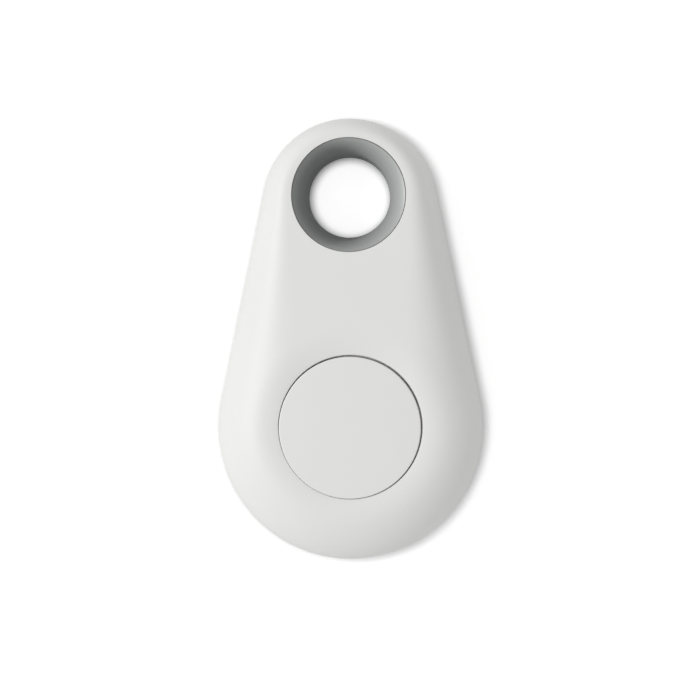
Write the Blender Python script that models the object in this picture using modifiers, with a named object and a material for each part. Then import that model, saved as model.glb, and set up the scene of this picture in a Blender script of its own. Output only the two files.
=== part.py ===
"""Bluetooth tracker tag: a teardrop case in two halves, with a flared eyelet, one button and its electronics.

Metres, +Z up. The tag lies on its back: the rear face is at Z = 0, the front face with the button looks up,
and +Y runs from the button towards the key-ring eyelet. The origin is the centre of the rear face.
"""

import math

import bmesh
import bpy

# ---------------------------------------------------------------- driving sizes

# Outline of the case: two circles on the Y axis, joined by their common tangents.
LENGTH = 0.0500
WIDTH = 0.0300
UPPER_WIDTH = 0.0198

# Case walls and the way the two halves meet.
WALL = 0.0012
FRONT_SHOULDER = 0.0055
REAR_SHOULDER = 0.0030
SEAT_GAP = 0.00015
PARTING_GAP = 0.0002
PARTING_HEIGHT = 0.0050
LIP_HEIGHT = 0.0010
LIP_INSET = 0.00065
LIP_CLEARANCE = 0.00015
INNER_STRAIGHT = 0.0005  # upright stretch of inner wall beside the lap joint

# Fits inside bought-in parts.
INNER_FIT = 0.0001

# Eyelet for the key ring.
THROAT_RADIUS = 0.0046
EYELET_RADIUS = 0.0064
EYELET_END_LAND = 0.0025
EYELET_LAND = 0.0004
REAR_EYELET_RADIUS = 0.0060
REAR_EYELET_LAND = 0.0009
EYELET_WALL = 0.0010
EYELET_FLANGE = 0.0005
EYELET_FLANGE_THICKNESS = 0.0007
EYELET_COLLAR = 0.0008
REAR_COLLAR_HEIGHT = 0.0010
FLARE_ANGLE = math.radians(65)

# Button, and the shallow dish that it sits in.
BUTTON_RADIUS = 0.00795
BUTTON_GAP = 0.00015
BUTTON_DEPTH = 0.0003
BUTTON_THICKNESS = 0.0010
BUTTON_FLANGE = 0.0005
BUTTON_FLANGE_THICKNESS = 0.0007
BUTTON_POST_RADIUS = 0.0014
BUTTON_FLANGE_GAP = 0.0002
BUTTON_SKIRT = 0.0008
EDGE = 0.00015  # small rounding on the button and on the eyelets' mouths
DISH_RADIUS = 0.0112

# Coin cell.
CELL_RADIUS = 0.0100
CELL_HEIGHT = 0.0032
CELL_SKIN = 0.00025
CELL_RIM_DROP = 0.0002
CELL_FLOOR_GAP = 0.0003
CELL_SIDE_GAP = 0.00015
CELL_DISCS = (("cell_cathode", 0.55, "cell_mix"), ("cell_separator", 0.1, "cell_felt"),
              ("cell_anode", 0.35, "lithium"))  # name, share of the height inside, finish

# Stack between the cell and the front wall.
CONTACT_ROOM = 0.0009
BOARD_THICKNESS = 0.0008
COMPONENT_ROOM = 0.0034
BOARD_EDGE_GAP = 0.00035
BOARD_END_GAP = 0.0019

# Ring that holds the cell, staked to the board.
HOLDER_WALL = 0.0006
HOLDER_LIFT = 0.0004
HOLDER_MOUTH = 0.0044
PEG_RADIUS = 0.0003
PEG_PROUD = 0.0004

# Board screws, in bosses under the front wall.
SCREW_HEAD_RADIUS = 0.0012
SCREW_HEAD_HEIGHT = 0.0007
SCREW_RADIUS = 0.0006
SCREW_LENGTH = 0.0032
SCREW_SLOT = 0.0003
BOSS_RADIUS = 0.0018

# Contacts, in springy sheet metal.
SHEET = 0.0002
LEAF_LENGTH = 0.0120
LEAF_WIDTH = 0.0030
SIDE_CONTACT_WIDTH = 0.0030
SIDE_CONTACT_FOOT = 0.0020

# Tact switch.
SWITCH_SIZE = 0.0052
SWITCH_BASE = 0.0003
SWITCH_HOUSING_HEIGHT = 0.0011
SWITCH_WELL_RADIUS = 0.0019
SWITCH_COVER = 0.00015
DOME_RADIUS = 0.0017
DOME_RISE = 0.00032
DOME_SHEET = 0.00008
PLUNGER_RADIUS = 0.0012
PLUNGER_FLANGE = 0.0004
PLUNGER_FLANGE_THICKNESS = 0.00025
PLUNGER_PROUD = 0.00035
TERMINAL_LENGTH = 0.0008
TERMINAL_WIDTH = 0.0006

# Buzzer.
BUZZER_SIZE = 0.0085
BUZZER_BASE = 0.0005
BUZZER_HEIGHT = 0.0028
BUZZER_TOP_WALL = 0.00035
BUZZER_SIDE_WALL = 0.00045
BUZZER_PORT = 0.0008
BUZZER_CLEARANCE = 0.00025
BUZZER_SHIFT = 0.0001  # how far the buzzer stands off the middle of its room, towards the eyelet
CORE_RADIUS = 0.0007
COIL_GAP = 0.0006
MAGNET_GAP = 0.0002
MAGNET_WALL = 0.0011
DIAPHRAGM = 0.0001

# Radio chip, crystal, small parts and antenna.
CHIP_SIZE = 0.0045
CHIP_HEIGHT = 0.0009
CHIP_EDGE = 0.00015
CRYSTAL = (0.0032, 0.0025)
CRYSTAL_BASE = 0.0005
CRYSTAL_LID = 0.0003
PART_SPACE = 0.0006
SMALL_PART = (0.0016, 0.0008)
SMALL_PITCH = 0.0016
SMALL_HEIGHTS = {"capacitor": 0.0008, "resistor": 0.00045, "inductor": 0.0008}
SMALL_PARTS = (("capacitor", 4, "ceramic_tan", 0, -2), ("resistor", 3, "ceramic_black", 1, -2),
               ("inductor", 1, "ferrite", 1, 1.5))  # name, count, finish, column, first row
ANTENNA_WIDTH = 0.0005
ANTENNA_PITCH = 0.0011
ANTENNA_HOLDER_GAP = 0.0002
ANTENNA_END_GAP = 0.0015
ANTENNA_LENGTH = 0.0035
ANTENNA_THICKNESS = 0.0001

# Openings in the rear shell.
SOUND_HOLE_RADIUS = 0.0005
SOUND_HOLE_PITCH = 0.0019
SOUND_HOLES = 3
NOTCH_WIDTH = 0.0060
NOTCH_DEPTH = 0.0006
NOTCH_HEIGHT = 0.0008

# Facets.
LOWER_STEPS = 30
UPPER_STEPS = 20
ROUND_STEPS = 36
SMALL_STEPS = 20
TINY_STEPS = 12
PAST = 0.001  # how far a cutter runs past the face it cuts
MERGE = 1e-7

# ---------------------------------------------------------------- levels and places that follow

LOWER_RADIUS = WIDTH / 2
UPPER_RADIUS = UPPER_WIDTH / 2
LOWER_Y = -LENGTH / 2 + LOWER_RADIUS
UPPER_Y = LENGTH / 2 - UPPER_RADIUS
EYELET_Y = LENGTH / 2 - EYELET_END_LAND - EYELET_RADIUS

REAR_INSIDE = WALL
CELL_Z = REAR_INSIDE + CELL_FLOOR_GAP
CELL_TOP = CELL_Z + CELL_HEIGHT
BOARD_Z = CELL_TOP + CONTACT_ROOM
BOARD_TOP = BOARD_Z + BOARD_THICKNESS
FRONT_INSIDE = BOARD_TOP + COMPONENT_ROOM
THICKNESS = FRONT_INSIDE + WALL
PART_Z = BOARD_TOP + SEAT_GAP  # height at which pieces stand on the board

REAR_RIM = PARTING_HEIGHT - PARTING_GAP / 2
FRONT_RIM = PARTING_HEIGHT + PARTING_GAP / 2
LIP_TOP = REAR_RIM + LIP_HEIGHT
SKIRT_TOP = LIP_TOP + PARTING_GAP
SKIRT = LIP_INSET - LIP_CLEARANCE

HOLDER_BORE = CELL_RADIUS + CELL_SIDE_GAP
HOLDER_RADIUS = HOLDER_BORE + HOLDER_WALL
SCREW_CIRCLE = (HOLDER_RADIUS + LOWER_RADIUS - WALL) / 2
SCREW_ANGLES = (math.radians(270), math.radians(40), math.radians(140))
PEG_ANGLES = (math.radians(60), math.radians(210), math.radians(330))

BUTTON_TOP = THICKNESS - BUTTON_DEPTH
BUTTON_FLANGE_TOP = FRONT_INSIDE - BUTTON_FLANGE_GAP
BUTTON_BOTTOM = BUTTON_FLANGE_TOP - BUTTON_FLANGE_THICKNESS
BUTTON_OPENING = BUTTON_RADIUS + BUTTON_GAP

SWITCH_TOP = PART_Z + SWITCH_HOUSING_HEIGHT
SWITCH_FLOOR = PART_Z + SWITCH_BASE
COVER_Z = SWITCH_TOP + INNER_FIT
COVER_TOP = COVER_Z + SWITCH_COVER
PLUNGER_TOP = COVER_TOP + PLUNGER_PROUD
PLUNGER_FLANGE_TOP = COVER_Z - INNER_FIT

# The buzzer stands between the button and the eyelet's collar: its stock size, or what their distance leaves.
BUZZER_ROOM_LOW = LOWER_Y + BUTTON_RADIUS + BUTTON_FLANGE
BUZZER_ROOM_HIGH = EYELET_Y - EYELET_RADIUS - SEAT_GAP - EYELET_COLLAR
BUZZER_SIDE = min(BUZZER_SIZE, BUZZER_ROOM_HIGH - BUZZER_ROOM_LOW - 2 * BUZZER_CLEARANCE)
BUZZER_Y = (BUZZER_ROOM_LOW + BUZZER_ROOM_HIGH) / 2 + BUZZER_SHIFT
BUZZER_BORE = BUZZER_SIDE / 2 - BUZZER_SIDE_WALL
MAGNET_RADIUS = BUZZER_BORE - MAGNET_GAP
COIL_RADIUS = MAGNET_RADIUS - MAGNET_WALL - COIL_GAP
BUZZER_TOP = PART_Z + BUZZER_HEIGHT
BUZZER_INSIDE = PART_Z + BUZZER_BASE + INNER_FIT
BOARD_END = EYELET_Y - THROAT_RADIUS - EYELET_WALL - BOARD_END_GAP
BOSS_REACH = SCREW_CIRCLE * math.sin(SCREW_ANGLES[1]) + BOSS_RADIUS
ANTENNA_Y = LOWER_Y + max(HOLDER_RADIUS, BOSS_REACH + ANTENNA_WIDTH) + ANTENNA_HOLDER_GAP
ANTENNA_RUNS = int((BOARD_END - ANTENNA_END_GAP - ANTENNA_Y) / ANTENNA_PITCH)


# ---------------------------------------------------------------- scene, materials, helpers


def clear_scene():
    for old in list(bpy.data.objects):
        bpy.data.objects.remove(old)


def new_collection(name):
    collection = bpy.data.collections.new(name)
    bpy.context.scene.collection.children.link(collection)
    return collection


def finish(name, colour, roughness, metallic=0.0):
    """A Principled material with one colour (linear RGB)."""
    material = bpy.data.materials.new(name)
    material.use_nodes = True
    shader = material.node_tree.nodes["Principled BSDF"]
    shader.inputs["Base Color"].default_value = (*colour, 1.0)
    shader.inputs["Roughness"].default_value = roughness
    shader.inputs["Metallic"].default_value = metallic
    return material


def white_plastic():
    return finish("white_plastic", (0.80, 0.80, 0.78), 0.45)


def grey_plastic():
    return finish("grey_plastic", (0.19, 0.20, 0.195), 0.40)


def natural_plastic():
    return finish("natural_plastic", (0.62, 0.60, 0.54), 0.55)


def black_plastic():
    return finish("black_plastic", (0.02, 0.02, 0.022), 0.50)


def board_laminate():
    return finish("board_laminate", (0.02, 0.14, 0.06), 0.35)


def gold_plate():
    return finish("gold_plate", (0.80, 0.56, 0.25), 0.30, 1.0)


def spring_steel():
    return finish("spring_steel", (0.62, 0.61, 0.58), 0.30, 1.0)


def can_steel():
    return finish("can_steel", (0.66, 0.66, 0.65), 0.25, 1.0)


def screw_steel():
    return finish("screw_steel", (0.50, 0.50, 0.50), 0.35, 1.0)


def coil_copper():
    return finish("coil_copper", (0.72, 0.32, 0.16), 0.35, 1.0)


def ferrite():
    return finish("ferrite", (0.08, 0.08, 0.085), 0.60)


def ceramic_tan():
    return finish("ceramic_tan", (0.48, 0.36, 0.24), 0.50)


def ceramic_black():
    return finish("ceramic_black", (0.05, 0.05, 0.06), 0.40)


def cell_mix():
    return finish("cell_mix", (0.06, 0.06, 0.06), 0.80)


def cell_felt():
    return finish("cell_felt", (0.75, 0.75, 0.72), 0.90)


def lithium():
    return finish("lithium", (0.60, 0.60, 0.62), 0.45, 1.0)


class Shop:
    """The collections and materials that every piece is made with."""

    def __init__(self):
        self.parts = new_collection("bluetooth_tracker_tag")
        self.cutters = new_collection("cutters")
        makers = (white_plastic, grey_plastic, natural_plastic, black_plastic, board_laminate, gold_plate,
                  spring_steel, can_steel, screw_steel, coil_copper, ferrite, ceramic_tan, ceramic_black,
                  cell_mix, cell_felt, lithium)
        self.materials = {maker.__name__: maker() for maker in makers}

    def add(self, name, mesh, material, centre=(0.0, 0.0)):
        """Link a mesh as a part, or as a cutter when it has no material."""
        thing = bpy.data.objects.new(name, mesh)
        thing.location = (centre[0], centre[1], 0.0)
        if material:
            mesh.materials.append(self.materials[material])
            self.parts.objects.link(thing)
        else:
            thing.hide_render = True
            thing.display_type = "WIRE"
            self.cutters.objects.link(thing)
        return thing


def teardrop(lower_radius, upper_radius, upper_y):
    """Points of the outline, anticlockwise: the upper arc, then the lower arc, joined by tangents."""
    lean = math.asin((lower_radius - upper_radius) / (upper_y - LOWER_Y))
    points = []
    for step in range(UPPER_STEPS + 1):
        angle = lean + (math.pi - 2 * lean) * step / UPPER_STEPS
        points.append((upper_radius * math.cos(angle), upper_y + upper_radius * math.sin(angle)))
    for step in range(LOWER_STEPS + 1):
        angle = math.pi - lean + (math.pi + 2 * lean) * step / LOWER_STEPS
        points.append((lower_radius * math.cos(angle), LOWER_Y + lower_radius * math.sin(angle)))
    return points


def shoulder_outline(share, shoulder, flat_radius, inset):
    """The case outline part of the way in over a shoulder (share 0 to 1), moved inwards by inset."""
    lower = LOWER_RADIUS - share * shoulder - inset
    upper = UPPER_RADIUS + share * (flat_radius - UPPER_RADIUS) - inset
    upper_y = UPPER_Y + share * (EYELET_Y - UPPER_Y)
    return teardrop(lower, upper, upper_y)


def shoulder_rings(shoulder, flat_radius, inset, rim_z, face_z, steps):
    """Rings of a quarter-ellipse shoulder, from the flat face (first) to the rim (last)."""
    rings = []
    for step in range(steps, -1, -1):
        angle = math.pi / 2 * step / steps
        outline = shoulder_outline(1 - math.cos(angle), shoulder, flat_radius, inset)
        rings.append((outline, rim_z + (face_z - rim_z) * math.sin(angle)))
    return rings


def front_rings(inset, rim_z, face_z, steps):
    return shoulder_rings(FRONT_SHOULDER, EYELET_RADIUS + EYELET_LAND, inset, rim_z, face_z, steps)


def rear_rings(inset, rim_z, face_z, steps):
    rings = shoulder_rings(REAR_SHOULDER, REAR_EYELET_RADIUS + REAR_EYELET_LAND, inset, rim_z, face_z, steps)
    return rings[::-1]


def straight_ring(inset, z):
    return (shoulder_outline(0.0, 0.0, 0.0, inset), z)


def loft(shop, name, rings, material):
    """A closed body through rings of equal point count, listed from its top face to its bottom face."""
    shape = bmesh.new()
    loops = [[shape.verts.new((x, y, z)) for x, y in outline] for outline, z in rings]
    shape.faces.new(loops[0])
    shape.faces.new(loops[-1][::-1])
    count = len(loops[0])
    for upper, lower in zip(loops, loops[1:]):
        for here in range(count):
            ahead = (here + 1) % count
            shape.faces.new((upper[here], lower[here], lower[ahead], upper[ahead]))
    mesh = bpy.data.meshes.new(name)
    shape.to_mesh(mesh)
    shape.free()
    return shop.add(name, mesh, material)


def turned(shop, name, profile, material, centre, closed=False, steps=ROUND_STEPS):
    """A profile of (radius, z) points, run down its outer side and turned about the vertical at centre."""
    edges = [(start, start + 1) for start in range(len(profile) - 1)]
    if closed:
        edges.append((len(profile) - 1, 0))
    mesh = bpy.data.meshes.new(name)
    mesh.from_pydata([(radius, 0.0, z) for radius, z in profile], edges, [])
    piece = shop.add(name, mesh, material, centre)
    screw = piece.modifiers.new("turn", "SCREW")
    screw.axis = "Z"
    screw.steps = steps
    screw.render_steps = steps
    screw.use_merge_vertices = True
    screw.merge_threshold = MERGE
    return piece


def tube(shop, name, outer, inner, bottom, top, material, centre, steps=ROUND_STEPS):
    profile = [(outer, top), (outer, bottom), (inner, bottom), (inner, top)]
    return turned(shop, name, profile, material, centre, closed=True, steps=steps)


def disc(shop, name, radius, bottom, top, material, centre, steps=ROUND_STEPS):
    shape = bmesh.new()
    bmesh.ops.create_cone(shape, cap_ends=True, segments=steps, radius1=radius, radius2=radius,
                          depth=top - bottom)
    bmesh.ops.translate(shape, verts=shape.verts, vec=(0.0, 0.0, (top + bottom) / 2))
    mesh = bpy.data.meshes.new(name)
    shape.to_mesh(mesh)
    shape.free()
    return shop.add(name, mesh, material, centre)


def block(shop, name, size, bottom, material, centre, edge=0.0):
    """A box that stands on the level called bottom, with its upright edges and top edge rounded by edge."""
    shape = bmesh.new()
    bmesh.ops.create_cube(shape, size=1.0)
    bmesh.ops.scale(shape, verts=shape.verts, vec=size)
    bmesh.ops.translate(shape, verts=shape.verts, vec=(0.0, 0.0, bottom + size[2] / 2))
    mesh = bpy.data.meshes.new(name)
    shape.to_mesh(mesh)
    shape.free()
    piece = shop.add(name, mesh, material, centre)
    if edge:
        bevel = piece.modifiers.new("edge", "BEVEL")
        bevel.width = edge
        bevel.segments = 1
    return piece


def plate(shop, name, outline, bottom, thickness, material):
    """A flat outline, given its thickness."""
    flat = bpy.data.curves.new(name, "CURVE")
    flat.dimensions = "2D"
    flat.fill_mode = "BOTH"
    flat.extrude = thickness / 2
    spline = flat.splines.new("POLY")
    spline.points.add(len(outline) - 1)
    for point, (x, y) in zip(spline.points, outline):
        point.co = (x, y, 0.0, 1.0)
    spline.use_cyclic_u = True
    guide = bpy.data.objects.new(name + "_outline", flat)
    guide.location = (0.0, 0.0, bottom + thickness / 2)
    shop.cutters.objects.link(guide)
    bpy.context.view_layer.update()
    evaluated = guide.evaluated_get(bpy.context.evaluated_depsgraph_get())
    mesh = bpy.data.meshes.new_from_object(evaluated)
    mesh.transform(guide.matrix_world)
    shape = bmesh.new()
    shape.from_mesh(mesh)
    bmesh.ops.remove_doubles(shape, verts=shape.verts, dist=MERGE)
    bmesh.ops.recalc_face_normals(shape, faces=shape.faces)
    shape.to_mesh(mesh)
    shape.free()
    mesh.materials.clear()
    bpy.data.objects.remove(guide)
    return shop.add(name, mesh, material)


def combine(target, tool, operation):
    step = target.modifiers.new(tool.name, "BOOLEAN")
    step.operation = operation
    step.solver = "EXACT"
    step.object = tool


def cut(target, *tools):
    for tool in tools:
        combine(target, tool, "DIFFERENCE")


def join(target, *tools):
    for tool in tools:
        combine(target, tool, "UNION")


def round_place(angle, radius, centre=(0.0, LOWER_Y)):
    return (centre[0] + radius * math.cos(angle), centre[1] + radius * math.sin(angle))


def smooth(piece, angle=30.0):
    """Round faces shade smooth, and corners stay sharp."""
    piece.data.shade_smooth()
    piece.data.set_sharp_from_angle(angle=math.radians(angle))


# ---------------------------------------------------------------- case


def screw_places():
    return [round_place(angle, SCREW_CIRCLE) for angle in SCREW_ANGLES]


def front_shell(shop):
    """Upper half of the case: rounded shoulders, dished round the button, with bosses and an eyelet collar."""
    body = loft(shop, "front_shell", front_rings(0.0, FRONT_RIM, THICKNESS, 7), "white_plastic")

    inner = front_rings(WALL, SKIRT_TOP + INNER_STRAIGHT, FRONT_INSIDE, 4)
    inner += [straight_ring(WALL, SKIRT_TOP), straight_ring(SKIRT, SKIRT_TOP),
              straight_ring(SKIRT, FRONT_RIM - PAST)]
    hollow = loft(shop, "front_hollow", inner, None)
    for number, place in enumerate(screw_places(), 1):
        cut(hollow, disc(shop, f"boss_{number}", BOSS_RADIUS, PART_Z, THICKNESS, None, place, SMALL_STEPS))
    bore = EYELET_RADIUS + SEAT_GAP
    cut(hollow, tube(shop, "front_collar", bore + EYELET_COLLAR, bore - PAST, front_collar_end(),
                     THICKNESS, None, (0.0, EYELET_Y)))
    cut(body, hollow, dish_cutter(shop))
    cut(body, disc(shop, "button_opening", BUTTON_OPENING, FRONT_INSIDE - PAST, THICKNESS + PAST, None,
                   (0.0, LOWER_Y)))
    cut(body, disc(shop, "front_eyelet_bore", bore, front_collar_end() - PAST, THICKNESS + PAST, None,
                   (0.0, EYELET_Y)))
    for number, place in enumerate(screw_places(), 1):
        top = BOARD_Z + SCREW_LENGTH + SEAT_GAP
        cut(body, disc(shop, f"boss_bore_{number}", SCREW_RADIUS + INNER_FIT, PART_Z - PAST, top, None,
                       place, TINY_STEPS))
    smooth(body)
    return body


def front_collar_end():
    """Level of the collar's lower face, which the front eyelet's flange sits under."""
    return FRONT_INSIDE - WALL


def dish_cutter(shop):
    """A shallow bowl whose rim is at the front face, and which is BUTTON_DEPTH deep at the button's opening."""
    depth = BUTTON_DEPTH / (1 - (BUTTON_OPENING / DISH_RADIUS) ** 2)
    profile = [(0.0, THICKNESS + PAST), (DISH_RADIUS, THICKNESS + PAST)]
    for step in range(6):
        radius = DISH_RADIUS - (DISH_RADIUS - BUTTON_OPENING) * step / 5
        profile.append((radius, THICKNESS - depth * (1 - (radius / DISH_RADIUS) ** 2)))
    profile.append((0.0, THICKNESS - BUTTON_DEPTH))
    return turned(shop, "dish", profile, None, (0.0, LOWER_Y))


def rear_shell(shop):
    """Lower half of the case: flat back, lap lip, eyelet collar, sound holes and a notch to pry it open."""
    rings = [straight_ring(LIP_INSET, LIP_TOP), straight_ring(LIP_INSET, REAR_RIM)]
    rings += rear_rings(0.0, REAR_RIM, 0.0, 5)
    body = loft(shop, "rear_shell", rings, "white_plastic")

    straight_end = REAR_RIM - INNER_STRAIGHT
    inner = [straight_ring(WALL, LIP_TOP + PAST)] + rear_rings(WALL, straight_end, REAR_INSIDE, 4)
    hollow = loft(shop, "rear_hollow", inner, None)
    bore = REAR_EYELET_RADIUS + SEAT_GAP
    cut(hollow, tube(shop, "rear_collar", bore + EYELET_COLLAR, bore - PAST, -PAST, rear_collar_end(),
                     None, (0.0, EYELET_Y)))
    cut(body, hollow)
    cut(body, disc(shop, "rear_eyelet_bore", bore, -PAST, rear_collar_end() + PAST, None, (0.0, EYELET_Y)))
    for number in range(SOUND_HOLES):
        x = SOUND_HOLE_PITCH * (number - (SOUND_HOLES - 1) / 2)
        cut(body, disc(shop, f"sound_hole_{number + 1}", SOUND_HOLE_RADIUS, -PAST, REAR_INSIDE + PAST, None,
                       (x, BUZZER_Y), TINY_STEPS))
    notch = block(shop, "pry_notch", (NOTCH_WIDTH, 2 * NOTCH_DEPTH, NOTCH_HEIGHT + PARTING_GAP),
                  REAR_RIM - NOTCH_HEIGHT, None, (0.0, -LENGTH / 2))
    cut(body, notch)
    smooth(body)
    return body


def rear_collar_end():
    """Level of the collar's upper face, which the rear eyelet's flange sits on."""
    return REAR_INSIDE + REAR_COLLAR_HEIGHT


def flare(throat_z, mouth_z, mouth_radius, steps=5):
    """Points from the mouth to the throat along part of an ellipse that is upright at the throat."""
    width = (mouth_radius - THROAT_RADIUS) / (1 - math.cos(FLARE_ANGLE))
    height = (mouth_z - throat_z) / math.sin(FLARE_ANGLE)
    points = []
    for step in range(steps, -1, -1):
        angle = FLARE_ANGLE * step / steps
        points.append((THROAT_RADIUS + width * (1 - math.cos(angle)), throat_z + height * math.sin(angle)))
    return points


def front_eyelet(shop):
    """Grey eyelet in the front shell: a trumpet mouth, a flange under the shell's collar, and a short tube."""
    mouth_z = THICKNESS - SEAT_GAP
    bottom = PARTING_HEIGHT + PARTING_GAP / 2
    flange_top = front_collar_end() - SEAT_GAP
    flange_bottom = flange_top - EYELET_FLANGE_THICKNESS
    tube_radius = THROAT_RADIUS + EYELET_WALL
    profile = [(EYELET_RADIUS, flange_top), (EYELET_RADIUS + EYELET_FLANGE, flange_top),
               (EYELET_RADIUS + EYELET_FLANGE, flange_bottom), (tube_radius, flange_bottom),
               (tube_radius, bottom), (THROAT_RADIUS, bottom)]
    profile += flare(bottom + EYELET_WALL / 2, mouth_z, EYELET_RADIUS - EDGE)[::-1]
    profile.append((EYELET_RADIUS, mouth_z - EDGE))
    piece = turned(shop, "front_eyelet", profile, "grey_plastic", (0.0, EYELET_Y), closed=True)
    smooth(piece)


def rear_eyelet(shop):
    """Grey eyelet in the rear shell: the same trumpet, opening at the back."""
    mouth_z = SEAT_GAP
    top = PARTING_HEIGHT - PARTING_GAP / 2
    flange_bottom = rear_collar_end() + SEAT_GAP
    flange_top = flange_bottom + EYELET_FLANGE_THICKNESS
    tube_radius = THROAT_RADIUS + EYELET_WALL
    outer = REAR_EYELET_RADIUS
    profile = [(THROAT_RADIUS, top), (tube_radius, top), (tube_radius, flange_top),
               (outer + EYELET_FLANGE, flange_top), (outer + EYELET_FLANGE, flange_bottom),
               (outer, flange_bottom), (outer, mouth_z + EDGE)]
    profile += flare(top - EYELET_WALL / 2, mouth_z, outer - EDGE)
    piece = turned(shop, "rear_eyelet", profile, "grey_plastic", (0.0, EYELET_Y), closed=True)
    smooth(piece)


def button_cap(shop):
    """Round button: a disc in the opening, a flange behind the wall, and a post that meets the switch."""
    rim = BUTTON_RADIUS + BUTTON_FLANGE
    underside = BUTTON_TOP - BUTTON_THICKNESS
    skirt_inner = BUTTON_RADIUS - BUTTON_SKIRT
    post_end = PLUNGER_TOP + INNER_FIT
    profile = [(0.0, BUTTON_TOP), (BUTTON_RADIUS - EDGE, BUTTON_TOP),
               (BUTTON_RADIUS, BUTTON_TOP - EDGE), (BUTTON_RADIUS, BUTTON_FLANGE_TOP),
               (rim, BUTTON_FLANGE_TOP), (rim, BUTTON_BOTTOM), (skirt_inner, BUTTON_BOTTOM),
               (skirt_inner, underside), (BUTTON_POST_RADIUS, underside), (BUTTON_POST_RADIUS, post_end),
               (0.0, post_end)]
    smooth(turned(shop, "button_cap", profile, "white_plastic", (0.0, LOWER_Y)))


# ---------------------------------------------------------------- board and cell nest


def board_outline():
    """The lower arc of the case, moved in to clear the walls, and straight sides up to a square end."""
    inset = WALL + BOARD_EDGE_GAP
    radius = LOWER_RADIUS - inset
    lean = math.asin((LOWER_RADIUS - UPPER_RADIUS) / (UPPER_Y - LOWER_Y))
    points = []
    for step in range(LOWER_STEPS + 1):
        angle = math.pi - lean + (math.pi + 2 * lean) * step / LOWER_STEPS
        points.append((radius * math.cos(angle), LOWER_Y + radius * math.sin(angle)))
    side_x, side_y = points[-1]
    end_x = side_x - (BOARD_END - side_y) * math.tan(lean)
    return points + [(end_x, BOARD_END), (-end_x, BOARD_END)]


def main_board(shop):
    board = plate(shop, "main_board", board_outline(), BOARD_Z, BOARD_THICKNESS, "board_laminate")
    for number, place in enumerate(screw_places(), 1):
        cut(board, disc(shop, f"board_screw_hole_{number}", SCREW_RADIUS + SEAT_GAP, BOARD_Z - PAST,
                        BOARD_TOP + PAST, None, place, TINY_STEPS))
    for number, angle in enumerate(PEG_ANGLES, 1):
        cut(board, disc(shop, f"peg_hole_{number}", PEG_RADIUS + SEAT_GAP, BOARD_Z - PAST, BOARD_TOP + PAST,
                        None, round_place(angle, peg_circle()), TINY_STEPS))
    return board


def peg_circle():
    return (HOLDER_BORE + HOLDER_RADIUS) / 2


def cell_holder(shop):
    """Open ring round the cell, with three pegs that are staked through the board."""
    top = BOARD_Z - SEAT_GAP
    holder = tube(shop, "cell_holder", HOLDER_RADIUS, HOLDER_BORE, CELL_Z + HOLDER_LIFT, top,
                  "natural_plastic", (0.0, LOWER_Y))
    mouth_y = LOWER_Y + (HOLDER_BORE + HOLDER_RADIUS) / 2
    cut(holder, block(shop, "holder_mouth", (HOLDER_MOUTH, 4 * HOLDER_WALL, CELL_HEIGHT + 2 * PAST),
                      CELL_Z, None, (0.0, mouth_y)))
    for number, angle in enumerate(PEG_ANGLES, 1):
        join(holder, disc(shop, f"peg_{number}", PEG_RADIUS, top - 4 * PEG_RADIUS, BOARD_TOP + PEG_PROUD,
                          None, round_place(angle, peg_circle()), TINY_STEPS))
    return holder


def board_screws(shop):
    """Self-tapping screws, driven from the cell side, each with a straight slot in its head."""
    head_top = BOARD_Z - SEAT_GAP
    head_bottom = head_top - SCREW_HEAD_HEIGHT
    tip = BOARD_Z + SCREW_LENGTH
    for number, place in enumerate(screw_places(), 1):
        profile = [(0.0, tip), (SCREW_RADIUS / 3, tip), (SCREW_RADIUS, tip - SCREW_RADIUS),
                   (SCREW_RADIUS, head_top), (SCREW_HEAD_RADIUS, head_top),
                   (SCREW_HEAD_RADIUS, head_bottom + EDGE), (SCREW_HEAD_RADIUS - EDGE, head_bottom),
                   (0.0, head_bottom)]
        screw = turned(shop, f"board_screw_{number}", profile, "screw_steel", place, steps=SMALL_STEPS)
        slot = (3 * SCREW_HEAD_RADIUS, SCREW_SLOT, 2 * SCREW_SLOT)
        cut(screw, block(shop, f"screw_slot_{number}", slot, head_bottom - SCREW_SLOT, None, place))


def leaf_height(share):
    """Height of the arched leaf above its lowest point, for share -1 to 1 along its length."""
    room = CONTACT_ROOM - 2 * SEAT_GAP - SHEET
    return room * (1 - math.cos(math.pi * share)) / 2


def negative_contact(shop):
    """Arched leaf under the board, whose middle presses on the cell's cap."""
    shape = bmesh.new()
    bmesh.ops.create_grid(shape, x_segments=12, y_segments=1, size=0.5)
    for vertex in shape.verts:
        share = 2 * vertex.co.x
        vertex.co = (vertex.co.x * LEAF_LENGTH, vertex.co.y * LEAF_WIDTH,
                     CELL_TOP + SEAT_GAP + leaf_height(share))
    mesh = bpy.data.meshes.new("negative_contact")
    shape.to_mesh(mesh)
    shape.free()
    leaf = shop.add("negative_contact", mesh, "spring_steel", (0.0, LOWER_Y))
    sheet = leaf.modifiers.new("sheet", "SOLIDIFY")
    sheet.thickness = SHEET
    sheet.offset = 1.0


def positive_contact(shop):
    """Bent strip beside the cell: a foot on the board and a leg down the can's side."""
    top = BOARD_Z - SEAT_GAP
    cell_edge = LOWER_Y + CELL_RADIUS
    leg_y = cell_edge + INNER_FIT + SHEET / 2
    bottom = CELL_Z + HOLDER_LIFT
    contact = block(shop, "positive_contact", (SIDE_CONTACT_WIDTH, SHEET, top - bottom), bottom,
                    "spring_steel", (0.0, leg_y))
    foot = block(shop, "contact_foot", (SIDE_CONTACT_WIDTH, SIDE_CONTACT_FOOT, SHEET), top - SHEET, None,
                 (0.0, leg_y - SHEET / 2 + SIDE_CONTACT_FOOT / 2))
    join(contact, foot)


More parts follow.
